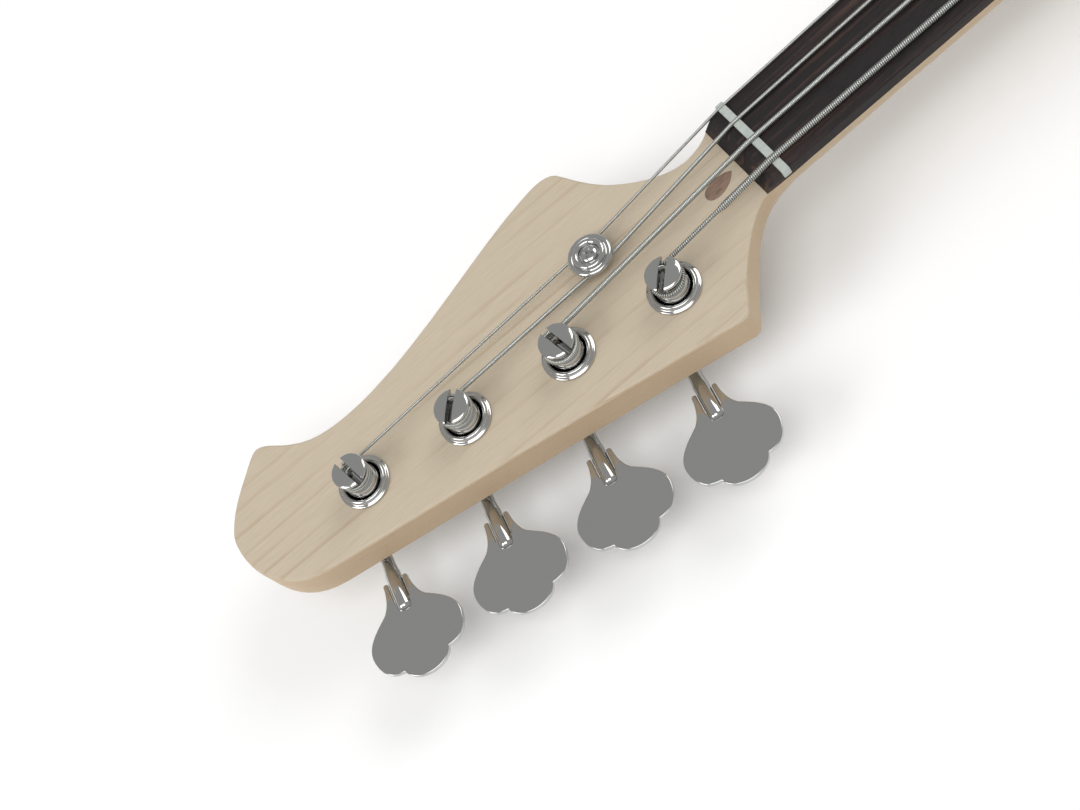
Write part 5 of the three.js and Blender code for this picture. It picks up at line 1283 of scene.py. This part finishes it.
class BASS_OT_guard(bpy.types.Operator):
    """Make the pickguard with its screws, and the pickup cover"""
    bl_idname = "bass.guard"
    bl_label = "Pickguard and pickup"

    # In the body's shares
    guard_shares = (
        (0.3, 0.42, 0.4, 0.5, 0.5, 0.5), (0.58, 0.5, 0.62, 0.44, 0.66, 0.3), (0.67, 0.2, 0.67, -0.1, 0.66, -0.24),
        (0.67, -0.36, 0.68, -0.62, 0.58, -0.66), (0.5, -0.66, 0.44, -0.55, 0.36, -0.45),
        (0.31, -0.42, 0.265, -0.44, 0.265, -0.36), (0.265, -0.1, 0.265, 0.1, 0.265, 0.34),
        (0.265, 0.38, 0.275, 0.4, 0.3, 0.42),
    )
    screw_shares = ((0.325, 0.385), (0.5, 0.455), (0.605, 0.4), (0.645, 0.25), (0.645, -0.25), (0.605, -0.58),
                    (0.47, -0.54), (0.295, -0.36), (0.28, 0.05))

    def execute(self, context):
        neck, body, _ = sizes()
        low = body.thick + 0.05 * MM
        high = low + body.guard_thick
        sheet = slab("black_pickguard", body_outline((0.3, 0.42), self.guard_shares, 12), low, high)
        half = half_neck(neck.heel_x) + 0.6 * MM
        room = rounded_rect(body.pickup_width + 1.4 * MM, body.pickup_length + 1.4 * MM, 8 * MM, x=body.pickup_x)
        combine(sheet, "DIFFERENCE",
                block("neck_room", (neck.heel_x - 1.2 * MM, -half, 0), (0.5, half, THROUGH_THICK)),
                slab("pickup_room", room, 0, THROUGH_THICK))
        round_edges(sheet, 0.8 * MM, 2, 50)
        seat(sheet, "plastic", "pickguard")
        places = [(*body_point(share), high - 0.1 * MM) for share in self.screw_shares]
        seat(joined("guard_screws", *screws(2.6 * MM, 1.2 * MM, places)), "chrome")
        self.make_pickup()
        return {"FINISHED"}

    def make_pickup(self):
        _, body, _ = sizes()
        low, high, wall = body.thick - 12 * MM, body.thick + 8.4 * MM, 2 * MM
        outer, inner = (rounded_rect(body.pickup_width - shrink, body.pickup_length - shrink, radius, x=body.pickup_x)
                        for shrink, radius in ((0, 6 * MM), (2 * wall, 4 * MM)))
        cover = slab("black_pickup_cover", outer, low, high, 1.6 * MM, 4)
        places = [Vector((body.pickup_x + x * 16 * MM, y * 43 * MM, high - 1.2 * MM)) for x in (-1, 1) for y in (-1, 1)]
        wells = [rod("well", 2.4 * MM, p, p + Vector((0, 0, 0.0112))) for p in places]
        combine(cover, "DIFFERENCE", slab("hollow", inner, low - THROUGH_THIN, high - wall), *wells)
        seat(cover, "plastic", "pickup_cover")
        seat(joined("pickup_screws", *screws(2.1 * MM, 1.1 * MM, places)), "chrome")


class BASS_OT_bridge(bpy.types.Operator):
    """Make the bridge plate, saddles, intonation screws and springs"""
    bl_idname = "bass.bridge"
    bl_label = "Bridge"

    def execute(self, context):
        _, body, _ = sizes()
        base, top = body.thick + 0.05 * MM, body.thick + 2.3 * MM
        screw_z = top + 3.6 * MM
        sheet = slab("sheet", rounded_rect(54 * MM, 80 * MM, 4 * MM, x=-9 * MM), base, top, 0.4 * MM)
        wall = slab("wall", rounded_rect(29 * MM, 80 * MM, 3 * MM), -36 * MM, -34 * MM, 0.4 * MM)
        put(wall, Matrix(((0, 0, 1, 0), (0, 1, 0, 0), (-1, 0, 0, body.thick + 0.3 * MM), (0, 0, 0, 1))))
        combine(wall, "INTERSECT", block("upper", (-0.05, -0.05, base), (0, 0.05, 0.1)))
        plate = combine(sheet, "UNION", wall)
        strings = BASS_OT_strings
        holes = []
        for i in range(4):
            y = string_y(i)
            holes.append(rod("hole", 1.8 * MM, (-0.05, y, screw_z), (-0.02, y, screw_z), 24))
            room = strings.diameters[i] * MM / 2 + 0.4 * MM
            holes.append(rod("hole", room, (-0.05, y, ball_z()), (-0.02, y, ball_z()), 24))
        combine(plate, "DIFFERENCE", *holes)
        places = [(x * MM, y * MM, top - 0.05 * MM)
                  for x, y in ((13, 32), (13, 0), (13, -32), (-29.5, 19), (-29.5, -19))]
        plate = joined("chrome_bridge_plate", *screws(3.6 * MM, 1.6 * MM, places), plate)
        seat(plate, "chrome", "bridge_plate")
        for i, tag in enumerate(STRINGS):
            self.make_saddle(i, tag, top, screw_z)
            self.make_screw(i, tag, screw_z)
            self.make_spring(i, tag, screw_z)
        return {"FINISHED"}

    def make_saddle(self, i, tag, top, screw_z):
        neck, _, _ = sizes()
        strings = BASS_OT_strings
        crest = neck.glue_z + (strings.nut_lifts[i] + 3.4 - strings.diameters[i] / 2) * MM
        floor, rear = top + 3 * MM, top + 7.1 * MM
        long = 15 * MM
        profile = [(-0.62 * long, floor), (0.38 * long, floor), (0.38 * long, crest - 0.2 * long),
                   (0.3 * long, crest - 0.1 * long), (0.18 * long, crest - 0.03 * long), (0.08 * long, crest),
                   (0, crest + 0.25 * MM), (-0.06 * long, crest), (-0.14 * long, crest - 0.04 * long),
                   (-0.31 * long, rear + 0.2 * MM), (-0.62 * long, rear)]
        saddle = slab("saddle", [Vector(p) for p in profile], -7.5 * MM, 7.5 * MM, 0.35 * MM)
        put(saddle, ALONG)
        mend_normals(saddle)
        groove_z = neck.glue_z + (strings.nut_lifts[i] + 3.4) * MM
        radius = strings.diameters[i] * MM / 2 + 0.03 * MM
        cuts = [rod("groove", radius, (-0.02, 0, groove_z), (0.02, 0, groove_z), 24),
                rod("bore", 1.8 * MM, (-0.02, 0, screw_z), (4.5 * MM, 0, screw_z), 24)]
        legs = []
        for y in (-4.95 * MM, 4.95 * MM):
            parts = []
            for name, radius, low, high, sides in (
                    ("leg_hole", 1.7, 0, THROUGH_THICK, 24), ("leg", 1.5, top + 0.1 * MM, top + 8.6 * MM, 24),
                    ("socket", 0.8, top + 7.2 * MM, THROUGH_THICK, 6)):
                parts.append(rod(name, radius * MM, (2.25 * MM, y, low), (2.25 * MM, y, high), sides))
            hole, leg, socket = parts
            cuts.append(hole)
            legs.append(combine(round_edges(leg, 0.2 * MM, 2), "DIFFERENCE", socket))
        combine(saddle, "DIFFERENCE", *cuts)
        whole = joined(f"chrome_saddle_{tag}", *legs, saddle)
        put(whole, Matrix.Translation((-strings.setbacks[i] * MM, string_y(i), 0)))
        seat(whole, "chrome", f"saddle_{tag}", body=f"saddle_slide_{tag}")

    def make_screw(self, i, tag, height):
        reach = (-BASS_OT_strings.setbacks[i] + 5.7 - 1.2 - 3.3) * MM
        head = cross_screw("head", 2.85 * MM, 1.9 * MM)
        put(head, Matrix.Rotation(-math.pi / 2, 4, "Y"))
        rows = [(0, 0)]
        pitch, first, end = 0.7 * MM, 0.3 * MM, reach + 36.3 * MM
        rows += [(1.28 * MM, 0), (1.28 * MM, first)]
        turns = int((end - first) / pitch)
        for k in range(turns):
            rows += [(1.5 * MM, first + (k + 0.5) * pitch), (1.22 * MM, first + (k + 1) * pitch)]
        rows += [(0.9 * MM, end), (0, end)]
        shank = put(spun("shank", rows, 20), Matrix.Rotation(math.pi / 2, 4, "Y"))
        screw = joined(f"steel_intonation_screw_{tag}", head, shank)
        put(screw, Matrix.Translation((-36.3 * MM, string_y(i), height)))
        seat(screw, "steel", f"intonation_screw_{tag}", body=f"saddle_drive_{tag}")

    def make_spring(self, i, tag, height):
        y = string_y(i)
        start, stop = -33.35 * MM, (-BASS_OT_strings.setbacks[i] - 9.3 - 0.65) * MM
        # Seven coils of 20 steps, of 0.7 mm wire
        radius, coils, steps = 2.15 * MM, 7, 20
        points = []
        for k in range(coils * steps + 1):
            turn = 2 * math.pi * k / steps
            points.append(Vector((start + (stop - start) * k / (coils * steps), y + radius * math.cos(turn),
                                  height + radius * math.sin(turn))))
        spring = tube(f"steel_saddle_spring_{tag}", points, [0.35 * MM] * len(points), 8)
        seat(spring, "steel", f"saddle_spring_{tag}", body=None, angle=60)
        # One end stays at the bridge's upturned edge, the other goes with the saddle
        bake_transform(spring)


class BASS_OT_controls(bpy.types.Operator):
    """Make the control plate, knobs and output jack"""
    bl_idname = "bass.controls"
    bl_label = "Controls"

    def execute(self, context):
        _, body, _ = sizes()
        place = control_frame(body.thick)
        plate = slab("control_plate", rounded_rect(150 * MM, 34 * MM, 16.7 * MM, 20), 0.05 * MM, 1.8 * MM, 0.45 * MM)
        knobs = (54 * MM, 17 * MM, -20 * MM)
        holes = [rod("hole", radius, (x, 0, -THROUGH_THIN), (x, 0, THROUGH_THIN))
                 for x, radius in [(x, 4.7 * MM) for x in knobs] + [(-57 * MM, 4.9 * MM)]]
        combine(plate, "DIFFERENCE", *holes)
        heads = screws(2.7 * MM, 1.3 * MM, [(x * MM, 0, 1.75 * MM) for x in (-69.5, 69.5)])
        whole = joined("chrome_control_plate", *heads, plate)
        seat(put(whole, place), "chrome", "control_plate")
        self.make_knobs(place, knobs)
        rows = [(3.4, -26), (4.7, -26), (4.7, 1.85), (6.3, 1.85), (6.4, 2.0), (6.4, 3.6), (6.2, 3.8), (4.9, 3.9),
                (4.7, 4.7), (4.5, 5.0), (4.1, 5.1), (3.6, 4.9), (3.4, 4.6), (3.4, -26)]
        jack = put(turned("steel_output_jack", rows), place @ Matrix.Translation((-57 * MM, 0, 0)))
        seat(jack, "steel", "output_jack")
        return {"FINISHED"}

    def make_knobs(self, place, knobs):
        base = 5.0
        outline = []
        ribs = 44
        for k in range(ribs * 4):
            turn = 2 * math.pi * k / (ribs * 4)
            r = (9.5 if k % 4 in (0, 1) else 9.2) * MM
            outline.append(Vector((r * math.cos(turn), r * math.sin(turn))))
        skirt = slab("knurl", outline, (base + 1.2) * MM, (base + 10.4) * MM)
        rows = [(0, -4.2), (2.9, -4.2), (2.9, base), (9.1, base), (9.4, base + 0.3), (9.4, base + 1.0),
                (9.15, base + 1.3), (9.15, base + 10.3), (9.35, base + 10.6), (9.4, base + 11.2), (9.1, base + 12.2),
                (8.3, base + 13.1), (6.9, base + 13.9), (5, base + 14.6), (2.5, base + 15.05), (0, base + 15.2)]
        knob = joined("knob", skirt, turned("core", rows, 64))
        for k, x in enumerate(knobs):
            piece = copied(knob, f"chrome_knob_{k + 1}", place @ Matrix.Translation((x, 0, 0)))
            seat(piece, "chrome", f"knob_{k + 1}", body=f"knob_body_{k + 1}")
        bpy.data.objects.remove(knob)


class BASS_OT_kept(bpy.types.Operator):
    """Give the solids that stay their finishes"""
    bl_idname = "bass.kept"
    bl_label = "Kept solids"

    def execute(self, context):
        kept = {"truss_rod": "steel", "pickup_coils": "plastic"}
        kept.update({f"worm_wheel_{tag}": "brass" for tag in STRINGS})
        kept.update({f"pot_{k}": "steel" for k in (1, 2, 3)})
        for node, finish in kept.items():
            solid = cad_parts[node]
            for slot in solid.material_slots:
                slot.material = finish_of(finish)
        return {"FINISHED"}


class BASS_PT_sidebar(bpy.types.Panel):
    """Lists the pieces of the instrument"""
    bl_label = "Fretless bass"
    bl_idname = "BASS_PT_sidebar"
    bl_space_type = "VIEW_3D"
    bl_region_type = "UI"
    bl_category = "Bass"

    def draw(self, context):
        for piece in PIECES:
            self.layout.operator(piece.bl_idname)
        for group in (context.scene.bass_neck, context.scene.bass_body, context.scene.bass_tuners,
                      context.scene.bass_colours):
            for name in group.__annotations__:
                self.layout.prop(group, name)


PIECES = (BASS_OT_stage, BASS_OT_strings, BASS_OT_neck, BASS_OT_board, BASS_OT_tuners, BASS_OT_tree,
          BASS_OT_body, BASS_OT_guard, BASS_OT_bridge, BASS_OT_controls, BASS_OT_kept)
GROUPS = {"bass_neck": BassNeckSizes, "bass_body": BassBodySizes, "bass_tuners": BassTunerSizes,
          "bass_colours": BassColours}


def register():
    for name, group in GROUPS.items():
        bpy.utils.register_class(group)
        setattr(bpy.types.Scene, name, bpy.props.PointerProperty(type=group))
    for piece in PIECES + (BASS_PT_sidebar,):
        bpy.utils.register_class(piece)


def unregister():
    for piece in (BASS_PT_sidebar,) + PIECES:
        bpy.utils.unregister_class(piece)
    for name, group in GROUPS.items():
        delattr(bpy.types.Scene, name)
        bpy.utils.unregister_class(group)


def main():
    register()
    for piece in PIECES:
        group, name = piece.bl_idname.split(".")
        getattr(getattr(bpy.ops, group), name)()


if __name__ == "__main__":
    main()
